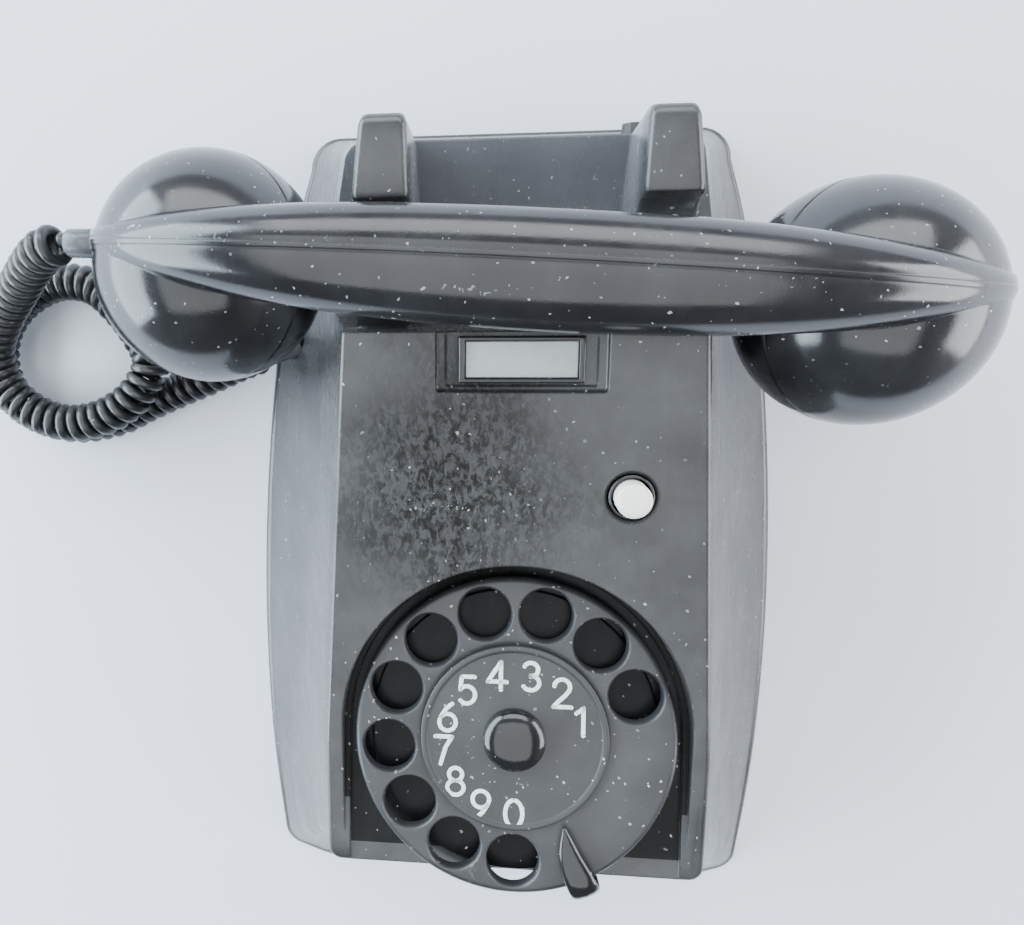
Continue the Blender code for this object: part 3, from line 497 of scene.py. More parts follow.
def frames_along(points):
    """Tangent and two cross directions at each point, carried along without twisting."""
    frames = []
    side = Vector((0, 0, 1))
    for i, point in enumerate(points):
        tangent = (points[min(len(points) - 1, i + 1)] - points[max(0, i - 1)]).normalized()
        side = (side - tangent * side.dot(tangent)).normalized()
        frames.append((point, tangent, side, tangent.cross(side)))
    return frames


def wound_wire(bm, frames, length, radius, wire, pitch, sides=8):
    """A wire wound around the line of frames, its end turns closing in to the line."""
    turns = round(length / pitch)
    closing = 0.8
    centres = []
    for i, (point, tangent, side, other) in enumerate(frames):
        t = i / (len(frames) - 1)
        angle = 2 * math.pi * turns * t
        reach = radius * min(1.0, t * turns / closing, (1.0 - t) * turns / closing)
        centres.append(point + (side * math.cos(angle) + other * math.sin(angle)) * reach)
    rows = []
    up = Vector((0.3, 0.2, 1.0)).normalized()
    for i, centre in enumerate(centres):
        tangent = (centres[min(len(centres) - 1, i + 1)] - centres[max(0, i - 1)]).normalized()
        outward = centre - frames[i][0]
        if outward.length > 1e-5:
            up = outward.normalized()
        up = (up - tangent * up.dot(tangent)).normalized()
        across = tangent.cross(up)
        rows.append([bm.verts.new(centre + (up * math.cos(a) + across * math.sin(a)) * wire)
                     for a in (2 * math.pi * k / sides for k in range(sides))])
    for a, b in zip(rows, rows[1:]):
        for k in range(sides):
            j = (k + 1) % sides
            bm.faces.new((a[k], a[j], b[j], b[k]))
    bm.faces.new(rows[0][::-1])
    bm.faces.new(rows[-1])


route = smooth_line([Vector(p) * MM for p in CORD_ROUTE], 24)
_, CORD_LENGTH = even_line(route, 100)
line_points, _ = even_line(route, int(CORD_LENGTH / (COIL_PITCH * MM) * POINTS_PER_TURN))
cord_frames = frames_along(line_points)
cord_mesh = mesh_from("handset_cord_wire", lambda bm: wound_wire(
    bm, cord_frames, CORD_LENGTH, (CORD_OUTER - WIRE) / 2 * MM, WIRE / 2 * MM, COIL_PITCH * MM))
cord_mesh.shade_smooth()
cord_mesh.materials.append(CORD_LOOK)
curly = link("curly_cord", cord_mesh)
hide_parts("handset_cord")
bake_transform(curly)
cord_path, _ = even_line(route, 120)

# ---- housing --------------------------------------------------------------------
WALL = 3.0
CORNER_CUT_X, CORNER_CUT_WIDTH, CORNER_CUT = 58.0, 17.0, 6.5


def spread(z):
    """How far the outline has spread at a height: 0 at the face, 1 at the back."""
    return max(0.0, 1.0 - max(0.0, z) / FACE_Z) ** 1.6


def half_width(y, s):
    """Half the width of the outline at y, for a spread of s."""
    face = 45.3 - 0.062 * max(0.0, y + 40.0)
    back = 76.7 - 0.000784 * (y + 45.0) ** 2 - 3.3 * max(0.0, (y - 60.0) / 50.0) ** 2
    return face + (back - face) * s


def slanted(x, y, s):
    """Pull the lower corners of the outline back along a slant."""
    reach = min(1.0, max(0.0, -(y + 70.0) / 40.0))
    share = min(1.0, max(0.0, (abs(x) - CORNER_CUT_X) / CORNER_CUT_WIDTH))
    return x, y + CORNER_CUT * s * reach * share


def housing_ring(z, inset, side_steps=30, corner_steps=7):
    """The outline of the housing at a height, drawn in by an inset."""
    s = spread(z)
    low = -72.0 - 46.5 * s + inset
    top = 99.5 + 10.5 * s - inset
    arcs = []
    for y_end, sign, growth in ((low, -1, 1.0), (top, 1, 5.0)):
        radius = max(1.0, 3.5 + growth * s - inset)
        y_corner = y_end - sign * radius
        x_corner = half_width(y_corner, s) - inset - radius
        arc = [(x_corner + radius * math.sin(math.pi / 2 * i / corner_steps),
                y_corner + sign * radius * math.cos(math.pi / 2 * i / corner_steps))
               for i in range(corner_steps + 1)]
        arcs.append(arc if sign < 0 else arc[::-1])
    y_low, y_top = arcs[0][-1][1], arcs[1][0][1]
    side = []
    for i in range(1, side_steps):
        y = y_low + (y_top - y_low) * i / side_steps
        side.append((half_width(y, s) - inset, y))
    front = [(arcs[0][0][0] * share, low) for share in (0.15, 0.3, 0.45, 0.6, 0.73, 0.84, 0.88, 0.94)]
    half = [slanted(x, y, s) for x, y in front + arcs[0] + side + arcs[1]]
    ring = half + [(-x, y) for x, y in half[::-1]]
    return [Vector((x, y, z)) * MM for x, y in ring]


def channel_outline(grow):
    """Side view of the channel that the handset lies in, its floor moved down by a growth."""
    floor = [(58.2, 61.0), (58.5, 57.6), (59.0, 54.0), (59.6, 50.2), (60.4, 46.5), (61.5, 43.2), (63.0, 40.5),
             (65.3, 37.6), (68.0, 35.5), (71.4, 33.9), (75.0, 33.2), (79.0, 33.0), (83.0, 33.3), (87.0, 34.1),
             (91.0, 35.2), (94.5, 36.6), (98.0, 38.2), (102.0, 40.1), (106.0, 42.0), (118.0, 48.0)]
    points = [Vector(p) for p in floor]
    moved = []
    for i, point in enumerate(points):
        along = (points[min(len(points) - 1, i + 1)] - points[max(0, i - 1)]).normalized()
        moved.append(point + Vector((along.y, -along.x)) * grow)
    return [Vector((moved[0].x, 80.0))] + moved + [Vector((moved[-1].x, 80.0))]


def prism_x(name, outline, x_low, x_high):
    return loft(name, [[Vector((x, p.x, p.y)) * MM for p in outline] for x in (x_low, x_high)])


def corner_points(inner, outer, bottom, top, radius, steps=5):
    """Section of a fork: square below, rounded above."""
    ring = [(inner, bottom), (outer, bottom)]
    for i in range(steps + 1):
        a = math.pi / 2 * i / steps
        ring.append((outer - radius + radius * math.cos(a), top - radius + radius * math.sin(a)))
    for i in range(steps + 1):
        a = math.pi / 2 * (1 + i / steps)
        ring.append((inner + radius + radius * math.cos(a), top - radius + radius * math.sin(a)))
    return ring


def fork_mesh(name, side):
    """One cradle fork: its top line from front to back, swept with a rounded section."""
    stations = [(50.0, 61.6), (57.2, 61.6), (57.9, 57.4), (59.2, 54.6), (61.4, 53.2), (64.0, 52.7),
                (71.0, 52.6), (78.0, 52.7), (81.4, 53.4), (83.6, 55.2), (84.9, 58.0), (85.5, 60.6),
                (86.1, 61.6), (87.4, 62.0), (94.0, 62.0), (100.6, 62.0), (101.9, 61.6), (102.8, 60.7),
                (103.2, 59.0)]
    rings = []
    for y, top in stations:
        along = max(0.0, y - 80.0)
        tip = max(0.0, y - 101.0)
        inner = 23.8 + 0.03 * along + 0.35 * tip
        outer = 37.0 - 0.113 * along - 0.35 * tip
        bottom = min(28.0 + 10.0 * max(0.0, y - 100.0), 53.0)
        rings.append([Vector((side * x, y, z)) * MM
                      for x, z in corner_points(inner, outer, bottom, top, 1.6)])
    return loft(name, rings)


def well_outline(radius, steps=72):
    """Top view of the dial's step: half a circle that runs out straight at the lower end."""
    ring = [(radius * math.cos(math.pi * i / steps), radius * math.sin(math.pi * i / steps) + 0.8)
            for i in range(steps + 1)]
    return ring + [(-radius, -60.0), (radius, -60.0)]


def well_mesh(name, radius, low):
    return loft(name, [[Vector((x, y, z)) * MM for x, y in well_outline(radius)] for z in (low, 30.0)])


DIAL = (Matrix.Translation(Vector((0, DIAL_Y, DIAL_Z)) * MM)
        @ Matrix.Rotation(math.radians(DIAL_TILT), 4, "X"))

# (height, inset) of the skin: the lip at the back edge, the flank, then the rounded rim of the face
levels = [(0.0, 0.3), (0.3, 0.0), (1.2, 0.0), (1.4, 0.1), (1.6, 0.5)]
levels += [(float(z), 0.5 * (1 - z / FACE_Z))
           for z in (3, 5, 7, 9, 11.5, 14, 17, 20, 23.5, 27, 31, 35, 39.5, 44, 48.5, 53, 57)]
for k in range(6):
    a = math.pi / 2 * k / 5
    levels.append((FACE_Z - RIM + RIM * math.sin(a), RIM * (1 - math.cos(a))))
housing_mesh = loft("housing_skin", [housing_ring(z, i) for z, i in levels])

# the hollow inside, kept clear of the channel, the dial and the forks
seat = housing_ring(0.0, 4.8, 7, 3)
inner = [[Vector((p.x, p.y, z * MM)) for p in seat] for z in (-1.0, 2.0)]
inner += [housing_ring(z, 3.9, 7, 3) for z in (5.0, 12.0, 22.0, 34.0, 46.0)]
inner.append(housing_ring(59.0, 4.0, 7, 3))
cavity_tools = [cut(prism_x("t", channel_outline(WALL), -95, 95)), cut(well_mesh("t", 44.0, -8.5), DIAL)]
for side in (-1, 1):
    cavity_tools.append(cut(box_mesh("t", (16.4, 60, 60), (side * FORK_X, 88.0, 59.0))))
cavity = combine(loft("t", inner), cavity_tools)

tools = [cut(prism_x("t", channel_outline(0.0), -95, 95))]
for side in (-1, 1):
    tools.append(join(fork_mesh("t", side)))
tools += [cut(well_mesh("t", STEP_RADIUS, -3.6), DIAL), cut(well_mesh("t", 39.7, -5.5), DIAL), cut(cavity)]
# the card recess in two steps
tools.append(cut(box_mesh("t", (37.0, 16.4, 3.0), (0, 53.3, FACE_Z + 0.3), 0.9, 3)))
tools.append(cut(box_mesh("t", (33.0, 13.4, 3.0), (0, 52.9, FACE_Z - 0.1), 0.6, 3)))
# the hole of the button and its countersink, the dial's shaft hole, the plunger holes
tools.append(cut(rod_mesh("t", (BUTTON_X, BUTTON_Y, 50), (BUTTON_X, BUTTON_Y, 70), 5.3, 64)))
tools.append(cut(rod_mesh("t", (BUTTON_X, BUTTON_Y, 61.3), (BUTTON_X, BUTTON_Y, 62.4), 5.3, 64, 6.5)))
tools.append(cut(rod_mesh("t", (0, 0, -12), (0, 0, 0), 9, 32), DIAL))
for side in (-1, 1):
    tools.append(cut(rod_mesh("t", (side * FORK_X, 70.0, 20), (side * FORK_X, 70.0, 60), 3.4, 32)))
# the cord's way in through the left flank, the line's through the top edge
INLET = Vector((-65.6, 52.2, 9.4))
WAY = Vector((-0.93, -0.31, -0.16)).normalized()
tools.append(cut(rod_mesh("t", INLET - WAY * 14, INLET + WAY * 14, 4.3, 32)))
tools.append(cut(rod_mesh("t", (30, 97, 9), (30, 115, 9), 3.3, 32)))
# the screw bosses
for x, y in ((-54, -94), (54, -94), (-46.5, 90), (46.5, 90)):
    tools.append(join(rod_mesh("t", (x, y, 2.0), (x, y, 17), 4.0, 16)))
    tools.append(cut(rod_mesh("t", (x, y, -1), (x, y, 10.5), 1.8, 12)))
finish_piece("housing_moulding", combine(housing_mesh, tools), HOUSING_LOOK, "root", ["housing"],
             32.0)

# ---- dial -----------------------------------------------------------------------
HOLE_FIRST, HOLE_CIRCLE = 20.8, 29.9
wheel_profile = [(4.3, 0.0), (22.6, 0.0), (22.9, 0.15), (36.4, 0.15), (36.9, 0.05), (37.4, -0.2),
                 (37.8, -0.6), (38.0, -1.1), (38.0, -2.0), (37.7, -2.5), (37.1, -2.8), (4.3, -2.8)]
hole_profile = [(0, 2.0), (8.6, 2.0), (6.75, 0.16), (6.45, -0.15), (6.25, -0.5), (6.15, -0.9), (6.15, -4.0),
                (0, -4.0)]
wheel_tools = []
for k in range(10):
    angle = math.radians(HOLE_FIRST + WHEEL_STEP * k)
    x, y = HOLE_CIRCLE * math.cos(angle), HOLE_CIRCLE * math.sin(angle)
    wheel_tools.append(cut(turned_mesh("t", hole_profile, 48), Matrix.Translation(Vector((x, y, 0)) * MM)))
wheel_mesh = combine(turned_mesh("t", wheel_profile, 128), wheel_tools)
finish_piece("dial_wheel", wheel_mesh, WHEEL_LOOK, "dial", ["finger_wheel"], 35.0, DIAL)

disc_profile = [(0, 1.15), (6.9, 1.15), (7.3, 1.0), (20.3, 1.0), (20.9, 1.45), (21.5, 1.5), (21.9, 1.3),
                (22.0, 0.9), (22.0, 0.3), (0, 0.3)]
finish_piece("digit_disc", turned_mesh("t", disc_profile, 96), WHEEL_LOOK, "dial",
             ["number_disc"], 35.0, DIAL)
hub_profile = [(7.3 * math.sin(math.pi / 2 * i / 10), 2.3 + 2.9 * math.cos(math.pi / 2 * i / 10))
               for i in range(11)]
hub_profile += [(7.3, 1.5), (0, 1.5)]
finish_piece("dial_hub", turned_mesh("t", hub_profile, 64), GLOSS_LOOK, "dial", ["hub_cap"],
             40.0, DIAL)
plate_profile = [(10.0, -4.4), (33.6, -4.4), (34.2, -4.55), (34.5, -4.9), (34.5, -5.2), (10.0, -5.2)]
# the under plate takes the painted-shade black, so it shows dark through the finger holes
finish_piece("under_plate", turned_mesh("t", plate_profile, 96), DARK_SHADE_LOOK, "root",
             ["dial_plate"], 35.0, DIAL)


def arc(cx, cy, rx, ry, first, last, steps):
    """Points on an ellipse between two angles in degrees."""
    turns = [math.radians(first + (last - first) * i / steps) for i in range(steps + 1)]
    return [(cx + rx * math.cos(a), cy + ry * math.sin(a)) for a in turns]


DIGIT_START, DIGIT_CIRCLE, DIGIT_DROP = 21.3, 16.67, 1.34
DIGIT_HEIGHT, STROKE_HALF = 6.5, 0.52
# the strokes of each digit, in shares of its height
DIGITS = {
    0: [arc(0, 0, 0.31, 0.5, 90, 450, 28)],
    1: [[(-0.19, 0.30), (-0.05, 0.38), (0.06, 0.5), (0.06, -0.5)]],
    2: [arc(0, 0.22, 0.28, 0.28, 170, -30, 16)
        + [(0.10, -0.10), (-0.14, -0.32), (-0.30, -0.5), (0.32, -0.5)]],
    3: [arc(-0.02, 0.25, 0.26, 0.25, 150, -90, 16) + arc(-0.02, -0.23, 0.30, 0.27, 90, -150, 16)],
    4: [[(0.14, -0.5), (0.14, 0.5), (-0.33, -0.22), (0.34, -0.22)]],
    5: [[(0.27, 0.5), (-0.18, 0.5), (-0.24, 0.03)] + arc(0.0, -0.17, 0.30, 0.32, 125, -140, 20)],
    6: [[(0.16, 0.5), (-0.06, 0.30), (-0.24, 0.02)] + arc(0.0, -0.19, 0.30, 0.31, 150, 510, 28)],
    7: [[(-0.30, 0.5), (0.31, 0.5), (0.08, 0.12), (-0.10, -0.5)]],
    8: [arc(0, 0.26, 0.24, 0.24, -90, 270, 26), arc(0, -0.23, 0.30, 0.27, 90, 450, 26)],
    9: [[(-0.16, -0.5), (0.06, -0.30), (0.24, -0.02)] + arc(0.0, 0.19, 0.30, 0.31, -30, 330, 28)],
}


def split_at_corners(points):
    """The stroke cut into runs that bend only gently."""
    runs = [[points[0]]]
    for before, here, after in zip(points, points[1:], points[2:]):
        runs[-1].append(here)
        if (here - before).angle(after - here) > math.radians(32.0):
            runs.append([here])
    runs[-1].append(points[-1])
    return runs


def printed_digits(bm):
    """Flat raised strokes of the ten digits, upright on the disc, with round ends and corners."""
    half = STROKE_HALF
    section = ((-1.0, 0.95), (-0.85, 1.14), (0.85, 1.14), (1.0, 0.95))
    for k in range(10):
        angle = math.radians(DIGIT_START + WHEEL_STEP * k)
        cx, cy = DIGIT_CIRCLE * math.cos(angle), -DIGIT_DROP + DIGIT_CIRCLE * math.sin(angle)
        for stroke in DIGITS[(k + 1) % 10]:
            whole = [Vector((cx + x * DIGIT_HEIGHT, cy + y * DIGIT_HEIGHT, 0)) for x, y in stroke]
            for points in split_at_corners(whole):
                skin = []
                for i, point in enumerate(points):
                    along = (points[min(len(points) - 1, i + 1)] - points[max(0, i - 1)]).normalized()
                    across = Vector((-along.y, along.x, 0)) * half
                    skin.append([bm.verts.new((point + across * w + Vector((0, 0, z))) * MM)
                                 for w, z in section])
                for a, b in zip(skin, skin[1:]):
                    for i in range(3):
                        bm.faces.new((a[i], a[i + 1], b[i + 1], b[i]))
                for point in (points[0], points[-1]):
                    corners = [point + Vector((half * math.cos(a), half * math.sin(a), 1.135))
                               for a in (math.pi * n / 8 for n in range(16))]
                    bm.faces.new([bm.verts.new(corner * MM) for corner in corners])


digit_mesh = bpy.data.meshes.new("digits")
digit_bm = bmesh.new()
printed_digits(digit_bm)
for face in digit_bm.faces:
    if face.normal.z < 0:
        face.normal_flip()
digit_bm.to_mesh(digit_mesh)
digit_bm.free()
finish_piece("white_digits", digit_mesh, DIGIT_LOOK, "dial", (), 50.0, DIAL)

# the finger stop: distance from the dial's axis, height and half width along it
stop_path = [(23.6, 1.35, 0.5), (24.6, 1.7, 1.0), (26.0, 1.95, 1.6), (28.0, 2.1, 2.2), (30.5, 2.2, 2.7),
             (33.0, 2.2, 3.1), (35.5, 2.15, 3.4), (37.8, 1.9, 3.5), (39.2, 1.3, 3.5), (40.1, 0.2, 3.5),
             (40.4, -1.4, 3.5), (40.4, -3.4, 3.45), (40.3, -5.0, 3.4)]
stop_rings = []
for i, (r, z, half) in enumerate(stop_path):
    before, after = stop_path[max(0, i - 1)], stop_path[min(len(stop_path) - 1, i + 1)]
    along = Vector((after[0] - before[0], after[1] - before[1])).normalized()
    up = Vector((-along.y, along.x))
    bend = 1.9 * max(0.0, (33.0 - r) / 9.4) ** 2
    ring = []
    for k in range(16):
        a = 2 * math.pi * k / 16
        w = half * math.copysign(abs(math.cos(a)) ** 0.55, math.cos(a))
        h = 0.7 * math.copysign(abs(math.sin(a)) ** 0.7, math.sin(a))
        if math.sin(a) > 0:
            h += 0.45 * (1 - (w / half) ** 2)
        ring.append(Vector((r + up.x * h, w + bend, z + up.y * h)) * MM)
    stop_rings.append(ring)
finish_piece("stop_claw", loft("t", stop_rings), GLOSS_LOOK, "root", ["finger_stop"], 50.0,
             DIAL @ Matrix.Rotation(math.radians(-64.5), 4, "Z"))

# ---- card holder and button -----------------------------------------------------
frame_mesh = combine(box_mesh("t", (26.8, 10.0, 1.6), (0, CARD_Y, FACE_Z - 0.1), 0.35, 3),
                     [cut(box_mesh("t", (24.3, 8.2, 6.0), (0, CARD_Y, FACE_Z), 0.3, 2))])
finish_piece("card_surround", frame_mesh, GLOSS_LOOK, "root", ["card_frame"], 30.0)
card_mesh = box_mesh("t", (23.7, 7.6, 0.4), (0, CARD_Y, FACE_Z - 0.7), 0.05, 1)
finish_piece("blank_card", card_mesh, CARD_LOOK, "root", ["number_card"], 30.0)
glass = Shader("window_look")
window_roughness = glass.ramp(glass.noise(300.0, 3.0), 0.3, 0.7, 0.12, 0.3)
window_look = glass.surface((0.75, 0.78, 0.78), window_roughness, 0.0, glass.noise(150.0, 3.0), 0.08 * MM,
                            Alpha=0.25)
window_mesh = box_mesh("t", (23.7, 7.6, 0.6), (0, CARD_Y, FACE_Z + 0.1), 0.2, 2)
finish_piece("card_glass", window_mesh, window_look, "root", ["card_window"], 30.0)
BUTTON = Matrix.Translation(Vector((BUTTON_X, BUTTON_Y, 0)) * MM)
collar_profile = [(4.4, 61.9), (4.7, 62.0), (5.0, 61.8), (5.0, 58.6), (4.4, 58.6)]
finish_piece("button_collar", turned_mesh("t", collar_profile, 64), GLOSS_LOOK, "root",
             ["earth_button_collar"], 35.0, BUTTON)
button_profile = [(3.85 * math.sin(math.pi / 2 * i / 8) ** 0.8, 65.3 + 0.8 * math.cos(math.pi / 2 * i / 8))
                  for i in range(9)]
button_profile += [(3.85, 57.0), (0, 57.0)]
finish_piece("white_button", turned_mesh("t", button_profile, 64), BUTTON_LOOK, "button",
             ["earth_button"], 35.0, BUTTON)


def spring_mesh(name, centre, low, high, radius, wire, turns):
    """A round wire wound into a spring with flat end turns."""
    upright = Vector((0, 0, 1))

    def build(bm):
        rows = []
        steps = int(turns * 20)
        for i in range(steps + 1):
            angle = 2 * math.pi * turns * i / steps
            rise = min(1.0, max(0.0, (i / steps * turns - 1.0) / (turns - 2.0)))
            out = Vector((math.cos(angle), math.sin(angle), 0))
            middle = Vector(centre) + out * radius + Vector((0, 0, low + (high - low) * rise))
            rows.append([bm.verts.new((middle + (out * math.cos(a) + upright * math.sin(a)) * wire) * MM)
                         for a in (math.pi * k / 4 for k in range(8))])
        for a, b in zip(rows, rows[1:]):
            for k in range(8):
                bm.faces.new((a[k], a[(k + 1) % 8], b[(k + 1) % 8], b[k]))
        bm.faces.new(rows[0][::-1])
        bm.faces.new(rows[-1])
    return mesh_from(name, build)


button_spring = spring_mesh("button_spring", (BUTTON_X, BUTTON_Y, 0.0), 45.4, 56.3, 2.7, 0.28, 8.0)
button_spring.shade_smooth()
button_spring.materials.append(STEEL_LOOK)
coil = link("button_coil_spring", button_spring)
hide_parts("earth_button_spring")
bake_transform(coil)

# ---- handset --------------------------------------------------------------------
HANDSET = Matrix.Translation(Vector((1.2, 68.2, 0)) * MM) @ Matrix.Rotation(math.radians(-3.74), 4, "Z")
HALF = 103.2
SLEEVE_AT = 104.4
BULB_X, BULB_Z, BULB_R, BULB_LEAN = 75.9, 40.2, 27.7, 28.0
CAP_FLAT = 19.3
# the underside of the handle from its middle outwards, in shares of its half width and height
UNDER_CURVE = ((0.15, 0.0), (0.34, 0.03), (0.50, 0.09), (0.64, 0.18), (0.75, 0.28), (0.85, 0.385),
               (0.93, 0.48), (0.985, 0.58))


def handle_section(s):
    """Closed ring across the handle, with a fine raised seam a little off the crest."""
    reach = abs(s)
    width = (24.0 - 17.4 * reach ** 2.2) / 2
    crest = 46.4 + 33.6 * max(0.0, 1.0 - reach ** 3.6) ** 0.625
    under = 54.0 - 3.5 * min(1.0, reach / 0.6) ** 3 - 11.0 * max(0.0, reach - 0.6) / 0.4
    middle = 2.3 + 1.9 * s * s
    seam = 0.20 * width * (1.0 - reach ** 2)
    half_seam = 0.42 + 0.25 * reach ** 6

    def upper(across):
        a = min(1.0, abs(across) / width)
        return under + (crest - under) * (0.66 + 0.34 * math.sqrt(max(0.0, 1.0 - a ** 2.15)))

    ring = [(width * a, under + (crest - under) * b) for a, b in UNDER_CURVE]
    low_edge = seam + half_seam * 2.2
    for i in range(11):
        across = low_edge + (width - low_edge) * math.cos(math.pi / 2 * i / 10)
        ring.append((across, upper(across)))
    for offset, lift in ((1.5, -0.12), (0.9, 0.20), (-0.9, 0.20), (-1.5, -0.12)):
        ring.append((seam + half_seam * offset, upper(seam + half_seam * offset) + lift))
    high_edge = seam - half_seam * 2.2
    for i in range(10, -1, -1):
        across = high_edge + (-width - high_edge) * math.cos(math.pi / 2 * i / 10)
        ring.append((across, upper(across)))
    ring += [(-width * a, under + (crest - under) * b) for a, b in reversed(UNDER_CURVE)]
    return [Vector((HALF * s, middle + y, z)) * MM for y, z in ring]


def bulb_axes(side):
    """Where one bulb sits on the handset, with Z out of its cap."""
    turn = Matrix.Rotation(math.pi + side * math.radians(BULB_LEAN), 4, "Y")
    return Matrix.Translation(Vector((side * BULB_X, 0, BULB_Z)) * MM) @ turn


def ball(radius, first, last, steps):
    """Profile of a ball between two angles from its pole."""
    return [(abs(radius * math.sin(first + (last - first) * i / steps)),
             radius * math.cos(first + (last - first) * i / steps)) for i in range(steps + 1)]


# rings along the handle, closer together towards its tips
HANDLE_RINGS = 64
stations = [math.sin(math.pi / 2 * (2.0 * i / HANDLE_RINGS - 1.0)) for i in range(HANDLE_RINGS + 1)]
shell_mesh = loft("t", [handle_section(s) for s in stations])
hollow_profile = [(0, 6.0), (23.8, 6.0)] + ball(24.4, math.pi / 2, math.pi, 8)
opening_profile = [(0, 40.0), (32.0, 40.0), (32.0, 0.75), (0, 0.75)]
shell_tools = [join(turned_mesh("t", ball(BULB_R, 0, math.pi, 48), 96), bulb_axes(side)) for side in (-1, 1)]
shell_tools += [cut(turned_mesh("t", hollow_profile, 30), bulb_axes(side)) for side in (-1, 1)]
shell_tools += [cut(turned_mesh("t", opening_profile, 48), bulb_axes(side), "MANIFOLD") for side in (-1, 1)]
shell_mesh = combine(shell_mesh, shell_tools)
finish_piece("handset_body", shell_mesh, HANDLE_LOOK, "handset", ["handset_shell"], 32.0,
             HANDSET)

cap_holes = [(0.0, 0.0)]
for reach, number in ((7.0, 6), (12.0, 12)):
    cap_holes += [(reach * math.cos(math.pi / (number / 2) * i), reach * math.sin(math.pi / (number / 2) * i))
                  for i in range(number)]
for piece, node, side in (("receiver_cap", "ear_cap", -1), ("speaking_cap", "mouth_cap", 1)):
    first = math.acos(CAP_FLAT / BULB_R) + 0.05
    last = math.acos(1.05 / BULB_R)
    profile = [(0, 18.1), (6, 18.3), (13, 19.1), (17.2, 19.35), (19.0, 19.2)]
    profile += ball(BULB_R, first, last - 0.02, 18)
    profile += [(BULB_R - 0.35, 1.05), (24.6, 1.05), (24.3, 5.0), (21.8, 11.0), (18.2, 16.0), (0, 16.0)]
    drills = [cut(rod_mesh("t", (x, y, 12), (x, y, 22), 1.2, 16)) for x, y in cap_holes]
    cap_mesh = combine(turned_mesh("t", profile, 96), drills)
    finish_piece(piece, cap_mesh, GLOSS_LOOK, "handset", [node], 32.0, HANDSET @ bulb_axes(side))

sleeve_start, sleeve_end = Vector((-SLEEVE_AT + 1.6, 4.2, 43.8)), Vector((-SLEEVE_AT - 6.9, 4.0, 42.8))
sleeve_along = sleeve_end - sleeve_start
sleeve_turn = Vector((0, 0, 1)).rotation_difference(sleeve_along).to_matrix().to_4x4()
sleeve_profile = [(0, sleeve_along.length), (2.6, sleeve_along.length), (3.3, sleeve_along.length - 0.5),
                  (3.5, sleeve_along.length - 1.4), (3.5, 0.6), (3.1, 0.0), (0, 0.0)]
finish_piece("end_sleeve", turned_mesh("t", sleeve_profile, 40), SLEEVE_LOOK, "handset",
             ["cord_sleeve"], 40.0, HANDSET @ Matrix.Translation(sleeve_start * MM) @ sleeve_turn)

# ---- looks of the CAD pieces that stay ------------------------------------------
LOOK_OF = {
    "back_plate": STEEL_LOOK, "dial_shaft": STEEL_LOOK, "dial_case": DARK_SHADE_LOOK,
    "return_spring_drum": STEEL_LOOK, "hook_lever": STEEL_LOOK, "ringer_yoke": STEEL_LOOK,
    "capacitor": STEEL_LOOK,
    "receiver_capsule": STEEL_LOOK, "transmitter_capsule": STEEL_LOOK, "gong_left": STEEL_LOOK,
    "gong_right": STEEL_LOOK, "gong_post_left": STEEL_LOOK, "gong_post_right": STEEL_LOOK,
    "main_gear": BRASS_LOOK, "pulse_cam": BRASS_LOOK, "governor": BRASS_LOOK, "clapper": BRASS_LOOK,
    "ringer_coil_left": COPPER_LOOK, "ringer_coil_right": COPPER_LOOK, "induction_coil": COPPER_LOOK,
    "pulse_contacts": BOARD_LOOK, "earth_contact": BOARD_LOOK, "hook_contacts": BOARD_LOOK,
    "terminal_block": BOARD_LOOK, "line_inlet_grommet": RUBBER_LOOK, "cord_grommet": RUBBER_LOOK,
    "cradle_plunger_left": GLOSS_LOOK, "cradle_plunger_right": GLOSS_LOOK,
    "back_screw_1": STEEL_LOOK, "back_screw_2": STEEL_LOOK, "back_screw_3": STEEL_LOOK,
    "back_screw_4": STEEL_LOOK,
}
for node, look in LOOK_OF.items():
    shown = NODES[node]
    for place in shown.material_slots:
        place.material = look

# ---- table, light and surroundings ----------------------------------------------
table = link("table_top", bpy.data.meshes.new("table_top"))
table_bm = bmesh.new()
bmesh.ops.create_grid(table_bm, x_segments=8, y_segments=8, size=1.6)
table_bm.to_mesh(table.data)
table_bm.free()
table.location = (0, 0, -0.0004)
top = Shader("table_look")
cloud = top.ramp(top.noise(6.0, 4.0, 0.6), 0.3, 0.7)
fine = top.noise(900.0, 3.0, 0.6)
table.data.materials.append(top.surface(top.mix(cloud, (0.80, 0.83, 0.90), (0.77, 0.80, 0.87)),
                                        top.ramp(fine, 0.3, 0.7, 0.5, 0.62), 0.0, fine, 0.03 * MM))


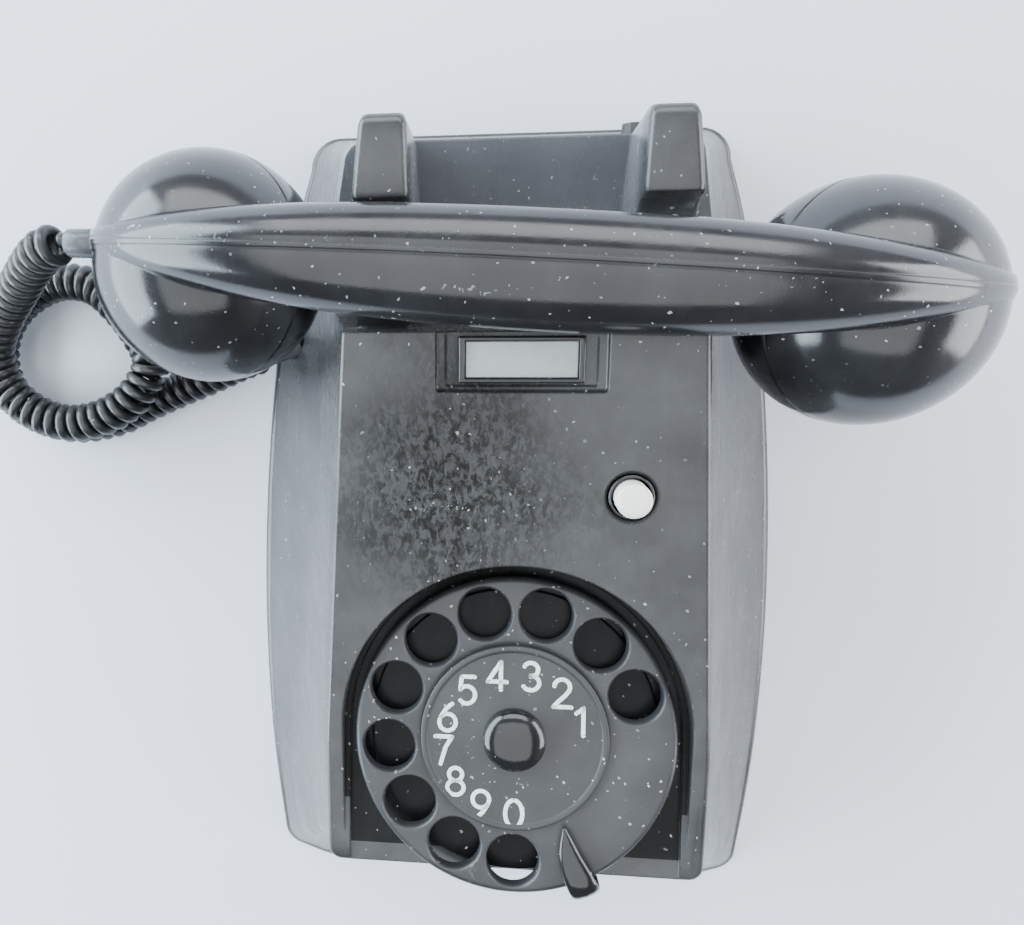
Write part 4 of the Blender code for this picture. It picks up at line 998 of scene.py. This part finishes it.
def area_light(name, location, target, size, power, colour):
    data = bpy.data.lights.new(name, "AREA")
    data.shape = "RECTANGLE"
    data.size, data.size_y = size
    data.energy = power
    data.color = colour
    made = link(name, data)
    made.location = location
    made.rotation_euler = (Vector(target) - Vector(location)).to_track_quat("-Z", "Y").to_euler()


area_light("window_left", (-1.0, 0.20, 0.40), (0, 0.05, 0.06), (2.0, 0.75), 60.0, (0.76, 0.90, 1.0))
area_light("window_right", (1.25, 0.10, 0.42), (0, 0.05, 0.06), (1.5, 0.70), 30.0, (0.92, 0.94, 1.0))
area_light("window_behind", (0.1, 1.45, 0.85), (0, 0, 0.05), (1.9, 0.8), 26.0, (0.93, 0.97, 1.0))
area_light("ceiling", (-0.1, -0.28, 1.7), (-0.1, -0.28, 0.0), (2.2, 2.5), 40.0, (0.93, 0.97, 1.0))

world = bpy.data.worlds.new("room")
world.use_nodes = True
sky = world.node_tree


def sky_math(operation, *values):
    node = sky.nodes.new("ShaderNodeMath")
    node.operation = operation
    for socket, value in zip(node.inputs, values):
        if isinstance(value, bpy.types.NodeSocket):
            sky.links.new(value, socket)
        else:
            socket.default_value = value
    return node.outputs[0]


def sky_range(value, low, high, out_low, out_high):
    node = sky.nodes.new("ShaderNodeMapRange")
    node.interpolation_type = "SMOOTHSTEP"
    sky.links.new(value, node.inputs["Value"])
    for name, number in (("From Min", low), ("From Max", high), ("To Min", out_low), ("To Max", out_high)):
        node.inputs[name].default_value = number
    return node.outputs["Result"]


# a room that is dark straight above and towards the front, bright around the windows
way = sky.nodes.new("ShaderNodeSeparateXYZ")
sky.links.new(sky.nodes.new("ShaderNodeTexCoord").outputs["Generated"], way.inputs[0])
low_band = sky_range(way.outputs["Z"], 0.55, 0.90, 1.0, 0.60)
behind = sky_range(way.outputs["Y"], -0.45, 0.55, 0.16, 1.0)
side = sky_range(sky_math("ABSOLUTE", way.outputs["X"]), 0.35, 0.85, 0.0, 0.7)
glow = sky_math("MULTIPLY", low_band, sky_math("MAXIMUM", behind, side))
sky.nodes["Background"].inputs["Color"].default_value = (0.82, 0.87, 0.94, 1.0)
sky.links.new(sky_math("MULTIPLY_ADD", glow, 0.85, 0.06), sky.nodes["Background"].inputs["Strength"])
bpy.context.scene.world = world
